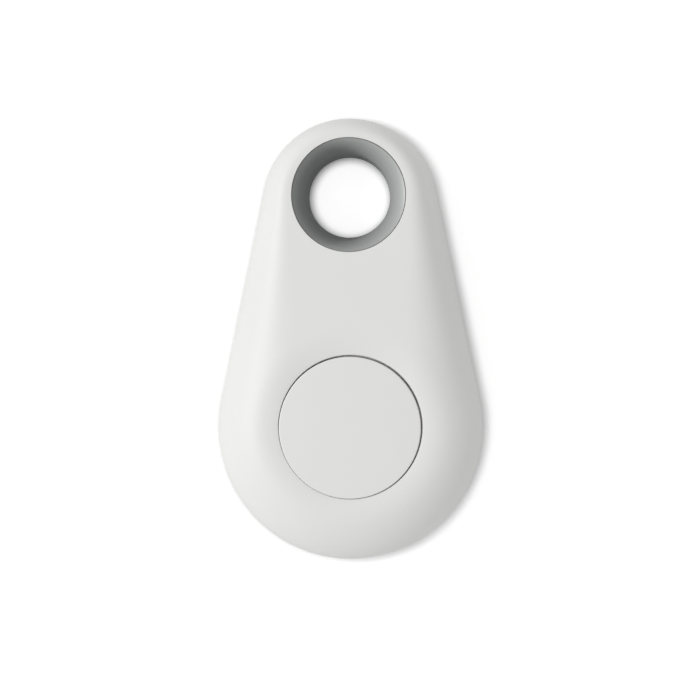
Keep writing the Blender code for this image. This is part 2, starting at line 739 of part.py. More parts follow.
def coin_cell(shop):
    """Standard coin cell: can below, cap above, gasket between them, and the discs that they hold."""
    centre = (0.0, LOWER_Y)
    skin = CELL_SKIN
    rim = CELL_TOP - CELL_RIM_DROP
    can_bore = CELL_RADIUS - skin
    can = [(0.0, CELL_Z + skin), (can_bore, CELL_Z + skin), (can_bore, rim - 2 * skin),
           (can_bore - skin, rim - skin), (can_bore - skin, rim), (can_bore, rim),
           (CELL_RADIUS, rim - skin), (CELL_RADIUS, CELL_Z + skin), (can_bore, CELL_Z), (0.0, CELL_Z)]
    smooth(turned(shop, "cell_can", can, "can_steel", centre), 40.0)

    gasket_radius = can_bore - skin - INNER_FIT
    gasket_bore = gasket_radius - skin
    cap_foot = CELL_Z + 2 * skin + INNER_FIT
    tube(shop, "cell_gasket", gasket_radius, gasket_bore, cap_foot, rim + INNER_FIT, "natural_plastic", centre)

    cap_radius = gasket_bore - INNER_FIT
    cap_bore = cap_radius - skin
    cap = [(0.0, CELL_TOP), (cap_bore, CELL_TOP), (cap_radius, CELL_TOP - skin), (cap_radius, cap_foot),
           (cap_bore, cap_foot), (cap_bore, CELL_TOP - skin), (0.0, CELL_TOP - skin)]
    smooth(turned(shop, "cell_cap", cap, "can_steel", centre), 40.0)

    level = CELL_Z + skin + INNER_FIT
    room = CELL_TOP - skin - level
    radius = cap_bore - INNER_FIT
    for name, share, finish_name in CELL_DISCS:
        height = room * share - INNER_FIT
        disc(shop, name, radius, level, level + height, finish_name, centre)
        level += height + INNER_FIT


# ---------------------------------------------------------------- tact switch


def tact_switch(shop):
    """Square switch under the button: housing with a round well, snap dome, plunger and sheet cover."""
    centre = (0.0, LOWER_Y)
    housing = block(shop, "switch_housing", (SWITCH_SIZE, SWITCH_SIZE, SWITCH_HOUSING_HEIGHT), PART_Z,
                    "black_plastic", centre)
    cut(housing, disc(shop, "switch_well", SWITCH_WELL_RADIUS, SWITCH_FLOOR, SWITCH_TOP + PAST, None, centre,
                      SMALL_STEPS))
    cover = block(shop, "switch_cover", (SWITCH_SIZE, SWITCH_SIZE, SWITCH_COVER), COVER_Z, "spring_steel",
                  centre)
    cut(cover, disc(shop, "cover_hole", PLUNGER_RADIUS + SEAT_GAP, COVER_Z - PAST, COVER_TOP + PAST, None,
                    centre, SMALL_STEPS))
    snap_dome(shop, centre)

    flange_bottom = PLUNGER_FLANGE_TOP - PLUNGER_FLANGE_THICKNESS
    flange_radius = PLUNGER_RADIUS + PLUNGER_FLANGE
    plunger = [(0.0, PLUNGER_TOP), (PLUNGER_RADIUS, PLUNGER_TOP), (PLUNGER_RADIUS, PLUNGER_FLANGE_TOP),
               (flange_radius, PLUNGER_FLANGE_TOP), (flange_radius, flange_bottom), (0.0, flange_bottom)]
    smooth(turned(shop, "switch_plunger", plunger, "black_plastic", centre, steps=SMALL_STEPS))

    number = 0
    for side in (-1, 1):
        for row in (-1, 1):
            number += 1
            terminal(shop, f"switch_terminal_{number}", side * (SWITCH_SIZE / 2), side,
                     LOWER_Y + row * SWITCH_SIZE / 3)


def snap_dome(shop, centre):
    """Thin domed disc on the floor of the well, under the plunger."""
    foot = SWITCH_FLOOR + INNER_FIT / 2
    profile = []
    for step in range(5):
        radius = DOME_RADIUS * step / 4
        profile.append((radius, foot + DOME_SHEET + DOME_RISE * (1 - (step / 4) ** 2)))
    for step in range(4, -1, -1):
        radius = DOME_RADIUS * step / 4
        profile.append((radius, foot + DOME_RISE * (1 - (step / 4) ** 2)))
    smooth(turned(shop, "switch_dome", profile, "spring_steel", centre, steps=SMALL_STEPS))


def terminal(shop, name, side_x, side, y):
    """Small bent leg on the board, against the side of a switch or buzzer."""
    gap = SEAT_GAP / 2
    foot_x = side_x + side * (gap + TERMINAL_LENGTH / 2)
    leg_x = side_x + side * (gap + SHEET / 2)
    foot = block(shop, name, (TERMINAL_LENGTH, TERMINAL_WIDTH, SHEET), PART_Z, "gold_plate", (foot_x, y))
    join(foot, block(shop, name + "_leg", (SHEET, TERMINAL_WIDTH, 3 * SHEET), PART_Z, None, (leg_x, y)))


# ---------------------------------------------------------------- buzzer


def buzzer(shop):
    """Square magnetic buzzer: base with a core and coil, a ring magnet, a diaphragm, and a ported housing."""
    centre = (0.0, BUZZER_Y)
    block(shop, "buzzer_base", (BUZZER_SIDE, BUZZER_SIDE, BUZZER_BASE), PART_Z, "natural_plastic", centre)
    housing = block(shop, "buzzer_housing", (BUZZER_SIDE, BUZZER_SIDE, BUZZER_TOP - BUZZER_INSIDE),
                    BUZZER_INSIDE, "black_plastic", centre)
    inside_top = BUZZER_TOP - BUZZER_TOP_WALL
    cut(housing, disc(shop, "buzzer_bore", BUZZER_BORE, BUZZER_INSIDE - PAST, inside_top, None, centre))
    cut(housing, disc(shop, "buzzer_port", BUZZER_PORT, inside_top - PAST, BUZZER_TOP + PAST, None, centre,
                      SMALL_STEPS))

    diaphragm_z = inside_top - 3 * DIAPHRAGM
    magnet_top = diaphragm_z - 2 * DIAPHRAGM
    disc(shop, "buzzer_diaphragm", BUZZER_BORE - SEAT_GAP, diaphragm_z, diaphragm_z + DIAPHRAGM,
         "spring_steel", centre)
    tube(shop, "buzzer_magnet", MAGNET_RADIUS, MAGNET_RADIUS - MAGNET_WALL, BUZZER_INSIDE, magnet_top,
         "ferrite", centre)
    tube(shop, "buzzer_coil", COIL_RADIUS, CORE_RADIUS + INNER_FIT, BUZZER_INSIDE, magnet_top - SHEET,
         "coil_copper", centre, SMALL_STEPS)
    disc(shop, "buzzer_core", CORE_RADIUS, BUZZER_INSIDE, magnet_top, "screw_steel", centre, SMALL_STEPS)
    for number, side in enumerate((-1, 1), 1):
        terminal(shop, f"buzzer_terminal_{number}", side * BUZZER_SIDE / 2, side, BUZZER_Y)


# ---------------------------------------------------------------- chips, small parts and antenna


def electronics(shop):
    """Radio chip and its crystal on one side of the switch, small parts around them, antenna at the edge."""
    chip_x = -(SWITCH_SIZE / 2 + TERMINAL_LENGTH + CHIP_SIZE / 2 + PART_SPACE)
    block(shop, "bluetooth_chip", (CHIP_SIZE, CHIP_SIZE, CHIP_HEIGHT), PART_Z, "black_plastic",
          (chip_x, LOWER_Y + CHIP_SIZE / 2), CHIP_EDGE)
    crystal = (chip_x, LOWER_Y - PART_SPACE - CRYSTAL[1] / 2)
    block(shop, "crystal_base", (CRYSTAL[0], CRYSTAL[1], CRYSTAL_BASE), PART_Z, "ceramic_tan", crystal)
    block(shop, "crystal_lid", (CRYSTAL[0] - 2 * CHIP_EDGE, CRYSTAL[1] - 2 * CHIP_EDGE, CRYSTAL_LID),
          PART_Z + CRYSTAL_BASE + INNER_FIT, "can_steel", crystal, CHIP_EDGE / 2)

    column_x = SWITCH_SIZE / 2 + TERMINAL_LENGTH + SMALL_PART[0] / 2 + PART_SPACE
    for name, count, finish_name, column, row in SMALL_PARTS:
        for number in range(count):
            place = (column_x + column * (SMALL_PART[0] + PART_SPACE),
                     LOWER_Y + (row + number) * SMALL_PITCH)
            height = SMALL_HEIGHTS[name]
            block(shop, f"{name}_{number + 1}", (SMALL_PART[0], SMALL_PART[1], height), PART_Z, finish_name,
                  place, CHIP_EDGE / 3)
    antenna(shop)


def antenna(shop):
    """Flat copper strip that runs back and forth beside the buzzer."""
    left = BUZZER_SIDE / 2 + TERMINAL_LENGTH + PART_SPACE
    middle = []
    for run in range(ANTENNA_RUNS + 1):
        ends = (left, left + ANTENNA_LENGTH)
        if run % 2:
            ends = ends[::-1]
        middle += [(x, ANTENNA_Y + run * ANTENNA_PITCH) for x in ends]
    plate(shop, "antenna_trace", strip_outline(middle, ANTENNA_WIDTH), PART_Z, ANTENNA_THICKNESS, "gold_plate")


def strip_outline(middle, width):
    """Outline of a strip along a line of square turns: one side out, the other side back."""
    half = width / 2
    near = []
    far = []
    for index, (x, y) in enumerate(middle):
        before = middle[index - 1] if index else None
        after = middle[index + 1] if index + 1 < len(middle) else None
        arrive = direction(before, (x, y)) if before else direction((x, y), after)
        leave = direction((x, y), after) if after else arrive
        if arrive == leave:
            shift = (-arrive[1], arrive[0])
        else:
            shift = (-arrive[1] - leave[1], arrive[0] + leave[0])
        near.append((x + half * shift[0], y + half * shift[1]))
        far.append((x - half * shift[0], y - half * shift[1]))
    return near + far[::-1]


def direction(start, end):
    """Unit step from start to end along X or Y."""
    across = end[0] - start[0]
    along = end[1] - start[1]
    reach = abs(across) + abs(along)
    return (round(across / reach), round(along / reach))


# ---------------------------------------------------------------- the whole tag


def main():
    clear_scene()
    shop = Shop()
    rear_shell(shop)
    rear_eyelet(shop)
    front_shell(shop)
    front_eyelet(shop)
    button_cap(shop)
    main_board(shop)
    board_screws(shop)
    cell_holder(shop)
    positive_contact(shop)
    negative_contact(shop)
    coin_cell(shop)
    tact_switch(shop)
    buzzer(shop)
    electronics(shop)


main()
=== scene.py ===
"""Finished surfaces and materials of a teardrop tracker tag, laid out as an add-on and run as a script.

Metres, +Z out of the front face, +Y towards the key-ring eyelet. Most pieces stand for one frame node each.
"""

import math

import bmesh
import bpy
import numpy as np
from bpy.props import FloatProperty, FloatVectorProperty, PointerProperty
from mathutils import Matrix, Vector


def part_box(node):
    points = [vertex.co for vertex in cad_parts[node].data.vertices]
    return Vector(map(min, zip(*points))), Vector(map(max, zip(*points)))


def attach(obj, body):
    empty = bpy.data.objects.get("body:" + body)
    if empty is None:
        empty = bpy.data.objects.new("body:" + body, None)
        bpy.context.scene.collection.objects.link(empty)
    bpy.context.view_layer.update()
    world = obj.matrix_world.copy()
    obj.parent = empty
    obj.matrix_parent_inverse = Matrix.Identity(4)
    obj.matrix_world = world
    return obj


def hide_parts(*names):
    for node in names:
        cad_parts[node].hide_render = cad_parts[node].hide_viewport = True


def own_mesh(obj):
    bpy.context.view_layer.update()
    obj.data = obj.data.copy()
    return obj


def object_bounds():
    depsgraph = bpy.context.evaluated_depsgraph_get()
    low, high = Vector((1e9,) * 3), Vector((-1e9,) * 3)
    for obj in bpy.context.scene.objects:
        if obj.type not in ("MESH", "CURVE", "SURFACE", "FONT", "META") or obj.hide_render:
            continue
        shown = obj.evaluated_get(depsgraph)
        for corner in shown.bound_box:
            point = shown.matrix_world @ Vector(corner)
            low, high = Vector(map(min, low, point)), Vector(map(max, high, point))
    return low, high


bl_info = {
    "name": "Tracker tag surfaces",
    "version": (1, 0, 0),
    "blender": (4, 5, 0),
    "location": "View3D > Sidebar > Tracker tag",
    "description": "Builds the covers, eyelet, button and electronics of a tracker tag around its frame",
    "category": "Object",
}

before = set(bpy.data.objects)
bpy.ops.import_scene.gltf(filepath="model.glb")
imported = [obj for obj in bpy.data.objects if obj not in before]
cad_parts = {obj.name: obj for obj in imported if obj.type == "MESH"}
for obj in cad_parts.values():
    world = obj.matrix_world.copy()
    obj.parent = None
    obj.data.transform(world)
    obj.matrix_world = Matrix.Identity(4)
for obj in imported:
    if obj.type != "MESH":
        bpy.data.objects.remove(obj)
CAD_BOX = [list(corner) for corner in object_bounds()]
TURN = 2 * math.pi


# ---------------------------------------------------------------- places and levels, read from the frame


def span(node):
    """Lowest and highest corner of a frame node, as arrays."""
    low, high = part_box(node)
    return np.array(low), np.array(high)


def axis_of(node):
    """X and Y of the middle of a frame node's box."""
    low, high = span(node)
    return (low + high)[:2] / 2


def levels_of(node):
    """Lowest and highest Z of a frame node."""
    low, high = span(node)
    return low[2], high[2]


def radius_of(node):
    """Half of a frame node's size along X."""
    low, high = span(node)
    return (high[0] - low[0]) / 2


CASE_LOW, CASE_HIGH = (np.array(corner) for corner in CAD_BOX)
LOWER_RADIUS = (CASE_HIGH[0] - CASE_LOW[0]) / 2
LOWER_Y = CASE_LOW[1] + LOWER_RADIUS
FRONT_RIM, THICKNESS = levels_of("front_shell")
LIP_TOP = levels_of("rear_shell")[1]
BOARD_TOP = levels_of("main_board")[1]
BUTTON_SHIFT = np.array([0.00008, 0.00012])  # from the frame's button to the moulded one and its opening
BUTTON_AXIS = axis_of("button_cap") + BUTTON_SHIFT
EYELET_AXIS = axis_of("front_eyelet")
CELL_AXIS = axis_of("cell_can")


# ---------------------------------------------------------------- sizes and counts that aren't settings

# Meshes: points closer than MERGE are one, and edges that bend by more than SHARP stay sharp.
MERGE = 1e-7
CUT_MERGE = 1e-6
SHARP = math.radians(32)
LEAST_BEND = 0.2  # sine of the smallest bend that gets rounded
CORNER_SHARE = 0.4  # most of a side that a rounded corner takes
CORNER_POINTS = 4

# Points along each part of the outline, and rows of the faces inside it.
SIDE_POINTS = 14
LOWER_POINTS = 84
UPPER_POINTS = 56
MIDDLE_POINTS = 32
TOP_ROWS = 40
UNDER_ROWS = 18
BACK_ROWS = 30
BACK_RING_ROWS = 16
FILLET_ROWS = 6
HALVINGS = 24

# Covers.
SHOULDER_FULLNESS = 2.3
SHOULDER_ROUNDNESS = 2.05
DISH_FADE = 1.7
INNER_STRAIGHT = 0.0005  # straight stretch of the inner wall next to the rim
REAR_COLLAR = 0.0010
SOUND_HOLES = (-1, 0, 1)  # places, in pitches from the middle
SOUND_HOLE_RADIUS = 0.0005
SOUND_HOLE_PITCH = 0.0019
SOUND_HOLE_STEPS = 32
NOTCH = (0.0060, 0.0006, 0.0008)  # width, depth, height
CUT_LOW = -0.001  # the sound holes' cutters run from here to CUT_HIGH
CUT_HIGH = 0.003
CUT_OVERLAP = 0.0001
BOSS_STEPS = 48
BOSS_GAP = 0.00015
BOSS_BORE_FIT = 0.0001

# Eyelet and button.
FLARE_ANGLE = math.radians(76)
FLARE_POINTS = 28
CREASE = 0.33  # share of the flare at which its crease lies
CREASE_TILT = 0.10
EYELET_EDGE = 0.00008
EYELET_ROUNDING = 0.8  # of EYELET_EDGE
FLANGE_THICKNESS = 0.0007
FLANGE_GAP = 0.0002
ROUND_STEPS = 128
BUTTON_LEAN = np.array([-0.55, -0.83])  # way in which the button leans in its opening

# Board screws.
SCREW_NUMBERS = (1, 2, 3)
SCREW_STEPS = 48
SCREW_FACE_ROWS = 22
SCREW_SHANK_ROWS = 72
SCREW_SHANK = 0.0006
SCREW_FACE = 0.86  # share of the head's radius inside its rounded edge
SCREW_EDGE = 0.0001
SCREW_ROUNDING = 0.00008
SCREW_CROSS = 0.00075
SCREW_SLOT = 0.00026
SCREW_SINK = 0.00038
SCREW_SLOPE = 1.6  # the recess gets deeper towards the middle by this, from SCREW_STEP at its ends
SCREW_STEP = 0.1
SCREW_DOME = 0.00012
SCREW_HEAD = 0.0007
SCREW_PITCH = 0.00045
SCREW_DEPTH = 0.00013
SCREW_POINT = 0.12  # share of the shank's radius that is left at the tip
THREAD_START = 0.00005

# Coin cell.
CELL_SKIN = 0.00025
CELL_STEPS = 160
CAN_ROUNDING = 0.00035
CAP_ROUNDING = 0.0003
SEAL_ROUNDING = 0.00006
CAP_DISH = 0.00006
CAP_FLAT = 0.74  # share of the cap's radius to which its sunk middle reaches
CAP_RISE = 0.80  # share of its radius at which the cap is at full height
CAP_SHOULDER = 0.2  # of the skin, from the cap's edge to the start of its slope
PLUS_PLACE = 0.0055
PLUS_SIZE = 0.0016

# Small parts, leaf contact, coil and switch.
BLOCK_EDGE = 0.00008
CRYSTAL_EDGE = 0.00006
SMALL_CORNER = 0.00008
SMALL_PROUD = 0.00003
TIN_START = 0.29  # of a part's length, from its middle to its tinned end
TIN_DARK = (0.55, 0.56, 0.56, 1.0)
TIN_LIGHT = (0.80, 0.80, 0.78, 1.0)
LEAST_CORNER = 0.15  # share of a block's rounding that is left at its ends
END_CURVE = (0.3, 0.35)  # middle point of a rounded end, as shares of the rounding
CAP_RAMP = 0.02  # share of half the length over which an end cap rises
PAD_COUNT = 8
PAD_PITCH = 0.0005
PAD_LENGTH = 0.0005
PAD_WIDTH = 0.00028
PAD_THICKNESS = 0.00006
PAD_DROP = 0.00006
LEAF = 0.0002
LEAF_POINTS = (49, 17)
LEAF_TAPER = 0.28
LEAF_TAPER_START = 0.35
LEAF_TAPER_CURVE = 1.2
DIMPLE = 0.00010
DIMPLE_RADIUS = 0.0007
WIRE = 0.00014
WIRE_GROOVE = 0.35  # of the wire's thickness
WIRE_POINTS = 6
WINDING_STEPS = 64
COIL_FIT = 0.0001
SWITCH_STEPS = 48
PLUNGER_RADIUS = 0.0012
PLUNGER_FLANGE = 0.00025
PLUNGER_CROWN = (0.00002, 0.00008)  # drop of the top at CROWN_SHARE of the radius and at its edge
CROWN_SHARE = 0.6
PLUNGER_ROUNDING = 0.00006
DOME_SHEET = 0.00008
DOME_POINTS = 15

# Marks on the board and the chip.
BUNDLE = 0.0026
TRACK_PITCH = 0.00040
TRACK_WIDTH = 0.00016
TRACK_GAIN = (2.6, 1.8, 1.7)  # how much lighter the mask's red, green and blue look over a track
TRACKS_X = 0.38  # share of the board's cells with tracks along X; up to TRACKS_Y they run along Y
TRACKS_Y = 0.72
FILL = 0.80  # cells whose number is over this are filled with copper
VIA_CELL = 0.0013
VIA_RADIUS = 0.00028
VIA_BORE = 0.45  # of its radius
VIA_LIMIT = 0.72  # cells whose number is over this have a via
VIA_TIN = (0.62, 0.60, 0.52, 1.0)
# Painted shade in each via's bore.
VIA_BORE_SHADE = (0.02, 0.02, 0.02, 1.0)
MARK_INSET = 0.0008
MARK_RADIUS = 0.00025
MARK_GREY = (0.10, 0.10, 0.10, 1.0)

# Floor.
FLOOR_Z = -0.00002
FLOOR_NEAR = (0.024, 0.034)  # half the finely divided part, along X and Y
FLOOR_POINTS = 201
FLOOR_FAR = np.array([0.06, 0.2, 0.6, 1.5])
# Painted light under the hole: the place of its middle, and where its fade starts.
PAINTED_LIGHT_SHIFT = (0.0001, 0.0001)  # place of its middle off the eyelet's axis
PAINTED_LIGHT_START = 0.6


# ---------------------------------------------------------------- settings


def length(name, description, default):
    """A size in metres."""
    return FloatProperty(name=name, description=description, default=default, min=0.0, unit="LENGTH",
                         precision=5)


def tint(name, description, default):
    """A colour."""
    return FloatVectorProperty(name=name, description=description, default=default, size=3, min=0.0, max=1.0,
                               subtype="COLOR")


def share(name, description, default):
    """A number from 0 to 1."""
    return FloatProperty(name=name, description=description, default=default, min=0.0, max=1.0,
                         subtype="FACTOR")


def level(name, description, default):
    """A number from 0 up."""
    return FloatProperty(name=name, description=description, default=default, min=0.0, precision=3)


class CaseSettings(bpy.types.PropertyGroup):
    """Sizes and colour of the two covers."""

    upper_radius: length("Upper radius", "Radius of the outline round the eyelet", 0.0099)
    wall: length("Wall", "Thickness of both covers", 0.0012)
    front_shoulder: length("Front shoulder", "Width of the rounded shoulder beside the button", 0.0084)
    rear_shoulder: length("Rear shoulder", "Width of the rounded edge of the back", 0.0030)
    front_land: length("Front land", "Flat strip round the eyelet's mouth", 0.0004)
    rear_land: length("Rear land", "Flat strip round the eyelet at the back", 0.0009)
    parting_gap: length("Parting gap", "Gap between the two covers", 0.0002)
    skirt: length("Skirt", "Wall of the front cover beside the lap lip", 0.0005)
    lip_inset: length("Lip inset", "Distance of the lap lip from the outline", 0.00065)
    edge: length("Edge", "Rounding of the moulded edges", 0.00010)
    dish_width: length("Dish width", "Width of the dished band round the button", 0.0030)
    dish_depth: length("Dish depth", "Depth of the dish at the button", 0.00045)
    collar: length("Collar", "Wall of the collars round the eyelets", 0.0008)
    boss_radius: length("Boss radius", "Outer radius of the screw bosses", 0.0018)
    colour: tint("Colour", "White plastic", (0.775, 0.775, 0.763))
    roughness: share("Roughness", "Roughness of the white plastic", 0.48)


class EyeletSettings(bpy.types.PropertyGroup):
    """Sizes and colour of the two halves of the eyelet."""

    throat: length("Throat", "Radius of the hole", 0.0046)
    mouth: length("Mouth", "Radius at the front face", 0.0064)
    rear_mouth: length("Rear mouth", "Radius at the back", 0.0060)
    wall: length("Wall", "Wall of the tube", 0.0010)
    gap: length("Gap", "Clearance between the eyelet and its cover", 0.00002)
    colour: tint("Colour", "Grey plastic", (0.235, 0.242, 0.238))
    roughness: share("Roughness", "Roughness of the grey plastic", 0.42)


class ButtonSettings(bpy.types.PropertyGroup):
    """Sizes of the push button."""

    radius: length("Radius", "Radius of the visible disc", 0.00795)
    gap: length("Gap", "Clearance in the front cover", 0.00012)
    play: length("Play", "How far the button leans to the lower left in its opening", 0.00010)
    thickness: length("Thickness", "Thickness of the disc", 0.0010)
    skirt: length("Skirt", "Wall of the ring under the disc", 0.0008)
    post: length("Post", "Radius of the post that meets the switch", 0.0014)
    edge: length("Edge", "Rounding of the disc's edge", 0.00016)


class StageSettings(bpy.types.PropertyGroup):
    """Camera, floor and lights."""

    camera_height: length("Camera height", "Height of the camera over the floor", 0.311)
    view_width: length("View width", "Width seen at the case's widest level", 0.0797)
    camera_x: length("Camera X", "Place of the camera across the tag", 0.0056)
    roll: level("Roll", "Degrees by which the tag leans to the left in the view", 0.22)
    target: FloatVectorProperty(name="Target", description="Point that the camera faces", size=3,
                                default=(-0.00002, -0.00128, 0.0051), unit="LENGTH", precision=5)
    floor_colour: tint("Floor colour", "Pale floor", (0.86, 0.86, 0.86))
    floor_glow: level("Floor glow", "Light that the open floor gives by itself", 0.50)
    # Painted shadow at the tag's outline and painted light under the hole, in the glow of the floor.
    painted_shadow_glow: level("Near glow", "Light that the floor gives at the tag's outline", 0.0)
    painted_hole_light: level("Hole glow", "Light that the floor gives under the hole", 0.80)
    shadow_width: length("Shadow width", "Distance over which the floor's glow comes up", 0.0016)
    sky: level("Sky", "Strength of the light from all round", 0.62)
    sky_side: level("Sky side", "How much stronger it is towards the key light", 0.12)
    key_power: level("Key", "Power in watts of the large soft light on the left", 1.74)
    key_size: length("Key size", "Side of the large soft light", 0.30)
    key_place: FloatVectorProperty(name="Key place", description="Place of the large soft light", size=3,
                                   default=(-0.46, 0.04, 0.44), unit="LENGTH")
    hole_power: level("Hole light", "Power in watts of the low soft light that only the eyelet gets", 2.0)
    hole_size: length("Hole light size", "Side of the low soft light", 0.10)
    hole_place: FloatVectorProperty(name="Hole light place", description="Place of the low soft light",
                                    size=3, default=(-0.40, 0.03, 0.22), unit="LENGTH")


# ---------------------------------------------------------------- shader maths


class Wire:
    """A shader socket. Working with it as with a number adds Math nodes to its material."""

    def __init__(self, sheet, socket):
        self.sheet = sheet
        self.socket = socket

    def math(self, operation, *values):
        return self.sheet.node("ShaderNodeMath", {"operation": operation}, dict(enumerate(values)))

    def __add__(self, other):
        return self.math("ADD", self, other)

    def __sub__(self, other):
        return self.math("SUBTRACT", self, other)

    def __rsub__(self, other):
        return self.math("SUBTRACT", other, self)

    def __mul__(self, other):
        return self.math("MULTIPLY", self, other)

    def __truediv__(self, other):
        return self.math("DIVIDE", self, other)

    def __pow__(self, other):
        return self.math("POWER", self, other)

    def __gt__(self, other):
        return self.math("GREATER_THAN", self, other)

    def __lt__(self, other):
        return self.math("LESS_THAN", self, other)

    def __abs__(self):
        return self.math("ABSOLUTE", self)

    def swing(self, amount):
        """A noise's value, made to run evenly either side of 0, times amount."""
        return (self - 0.5) * amount

    def fold(self, reach):
        """Runs up to reach and back down to 0, over and over."""
        return self.math("PINGPONG", self, reach)

    def either(self, other):
        """The larger of two masks."""
        return self.math("MAXIMUM", self, other)

    __radd__ = __add__
    __rmul__ = __mul__


def distance(x, y):
    """Length of the wires x and y as two sides at a right angle."""
    return (x ** 2.0 + y ** 2.0) ** 0.5


class Sheet:
    """A material under work: node adds any node to it, and the rest are short forms of that."""

    def __init__(self, name):
        self.material = bpy.data.materials.new(name)
        self.material.use_nodes = True
        self.tree = self.material.node_tree
        self.shader = self.tree.nodes["Principled BSDF"]

    @classmethod
    def of_tree(cls, tree):
        """A sheet for a node tree that isn't a material's."""
        sheet = cls.__new__(cls)
        sheet.tree = tree
        return sheet

    def node(self, kind, settings=None, inputs=None, output=0):
        """Add a node of this kind; settings are set first, then each input's value or link."""
        made = self.tree.nodes.new(kind)
        for key, value in (settings or {}).items():
            setattr(made, key, value)
        for key, value in (inputs or {}).items():
            self.feed(made.inputs[key], value)
        return Wire(self, made.outputs[output])

    def feed(self, socket, value):
        if isinstance(value, Wire):
            self.tree.links.new(value.socket, socket)
        else:
            socket.default_value = value

    def set(self, **values):
        """Set the shader's own sockets, such as base_color or roughness."""
        for key, value in values.items():
            self.feed(self.shader.inputs[key.replace("_", " ").title().replace("Ior", "IOR")], value)
        return self.material

    def place(self):
        return self.node("ShaderNodeTexCoord", output="Object")

    def axes(self):
        """X, Y and Z of the place."""
        place = self.place()
        return [self.node("ShaderNodeSeparateXYZ", inputs={0: place}, output=axis) for axis in "XYZ"]

    def noise(self, scale, detail=2.0, roughness=0.5, vector=None):
        inputs = {"Vector": vector or self.place(), "Scale": scale, "Detail": detail, "Roughness": roughness}
        return self.node("ShaderNodeTexNoise", inputs=inputs)

    def blend(self, factor, first, second):
        """Colour between first and second."""
        return self.node("ShaderNodeMix", {"data_type": "RGBA"}, {0: factor, 6: first, 7: second}, output=2)

    def shades(self, factor, colour, first, second):
        """Colour between two shades of one colour, each given as a factor of it."""
        return self.blend(factor, colour4(colour, first), colour4(colour, second))

    def bump(self, height, depth, strength=1.0):
        inputs = {"Height": height, "Distance": depth, "Strength": strength}
        return self.node("ShaderNodeBump", inputs=inputs, output="Normal")


def colour4(colour, factor=1.0):
    """RGBA from RGB, made lighter or darker by factor."""
    return (*(min(1.0, channel * factor) for channel in colour), 1.0)


def moulded_plastic(name, colour, roughness, grain=0.00012, depth=0.0000012):
    """Moulded plastic: fine spark-eroded grain, faint flow clouds and slight changes of sheen."""
    sheet = Sheet(name)
    clouds = sheet.noise(110.0, 3.0)
    fine = sheet.noise(1.0 / grain, 2.0, 0.6)
    base = sheet.shades(clouds, colour, 0.988, 1.012)
    sheen = fine.swing(0.06) + clouds.swing(0.05) + roughness
    return sheet.set(base_color=base, roughness=sheen, normal=sheet.bump(fine, depth))


def eyelet_plastic(eyelet):
    """Grey moulded plastic with painted shade: darker towards the throat and lighter towards the mouth, by
    the distance from the eyelet's axis.
    """
    sheet = Sheet("grey_moulding")
    x, y, _ = sheet.axes()
    radius = distance(x - EYELET_AXIS[0], y - EYELET_AXIS[1])
    out = (radius - eyelet.throat) / (eyelet.mouth - eyelet.throat)
    fine = sheet.noise(9000.0, 2.0, 0.6)
    clouds = sheet.noise(260.0, 3.0)
    # Painted shade: the grey runs from darker at the throat to lighter at the mouth.
    painted_shade_ramp = sheet.node("ShaderNodeMapRange", {"interpolation_type": "SMOOTHSTEP"},
                      {0: out + clouds.swing(0.12), 1: 0.0, 2: 1.1}, output="Result")
    base = sheet.shades(painted_shade_ramp, eyelet.colour, 0.90, 1.02)
    sheen = fine.swing(0.05) + clouds.swing(0.06) + eyelet.roughness
    return sheet.set(base_color=base, roughness=sheen, specular_ior_level=0.7,
                     normal=sheet.bump(fine, 0.0000010))


# ---------------------------------------------------------------- materials of the inner pieces


def brushed_metal(name, colour, roughness, along=(40.0, 1400.0, 1400.0), spots=0.0):
    """Sheet metal with fine drawn lines along one axis, faint clouds and a few dull spots."""
    sheet = Sheet(name)
    mapping = sheet.node("ShaderNodeMapping", inputs={"Vector": sheet.place(), "Scale": along})
    lines = sheet.noise(6.0, 4.0, 0.7, mapping)
    clouds = sheet.noise(420.0, 3.0)
    dull = sheet.noise(2600.0, 1.0) > 0.66
    base = sheet.shades(lines * 0.7 + clouds * 0.3, colour, 0.86, 1.10)
    sheen = lines.swing(0.22) + clouds * 0.10 + dull * spots + (roughness - 0.05)
    return sheet.set(base_color=base, metallic=1.0, roughness=sheen, normal=sheet.bump(lines, 0.0000035))


def cell_steel(name, colour, roughness):
    """Nickel-plated steel: turned lines round the axis, and a plus sign pressed into the can's flat end."""
    sheet = Sheet(name)
    x, y, z = sheet.axes()
    x, y = x - CELL_AXIS[0], y - (CELL_AXIS[1] + PLUS_PLACE)
    radius = distance(x, y + PLUS_PLACE)
    lines = sheet.node("ShaderNodeTexNoise", {"noise_dimensions": "1D"},
                       {"W": radius * 9000.0, "Detail": 3.0})
    clouds = sheet.noise(300.0, 3.0)
    across, up = abs(x), abs(y)
    flat_bar = (across < PLUS_SIZE) * (up < PLUS_SIZE / 5)
    upright_bar = (up < PLUS_SIZE) * (across < PLUS_SIZE / 5)
    flat_end = z < float(levels_of("cell_can")[0] + CELL_SKIN / 2)
    plus = flat_bar.either(upright_bar) * flat_end
    base = sheet.shades(lines * 0.5 + clouds * 0.5, colour, 0.90, 1.08)
    base = sheet.blend(plus * 0.35, base, colour4(colour, 0.35))
    sheen = lines.swing(0.14) + clouds.swing(0.12) + plus * 0.2 + roughness
    height = lines * 0.12 - plus
    return sheet.set(base_color=base, metallic=1.0, roughness=sheen, normal=sheet.bump(height, 0.00002, 0.6))


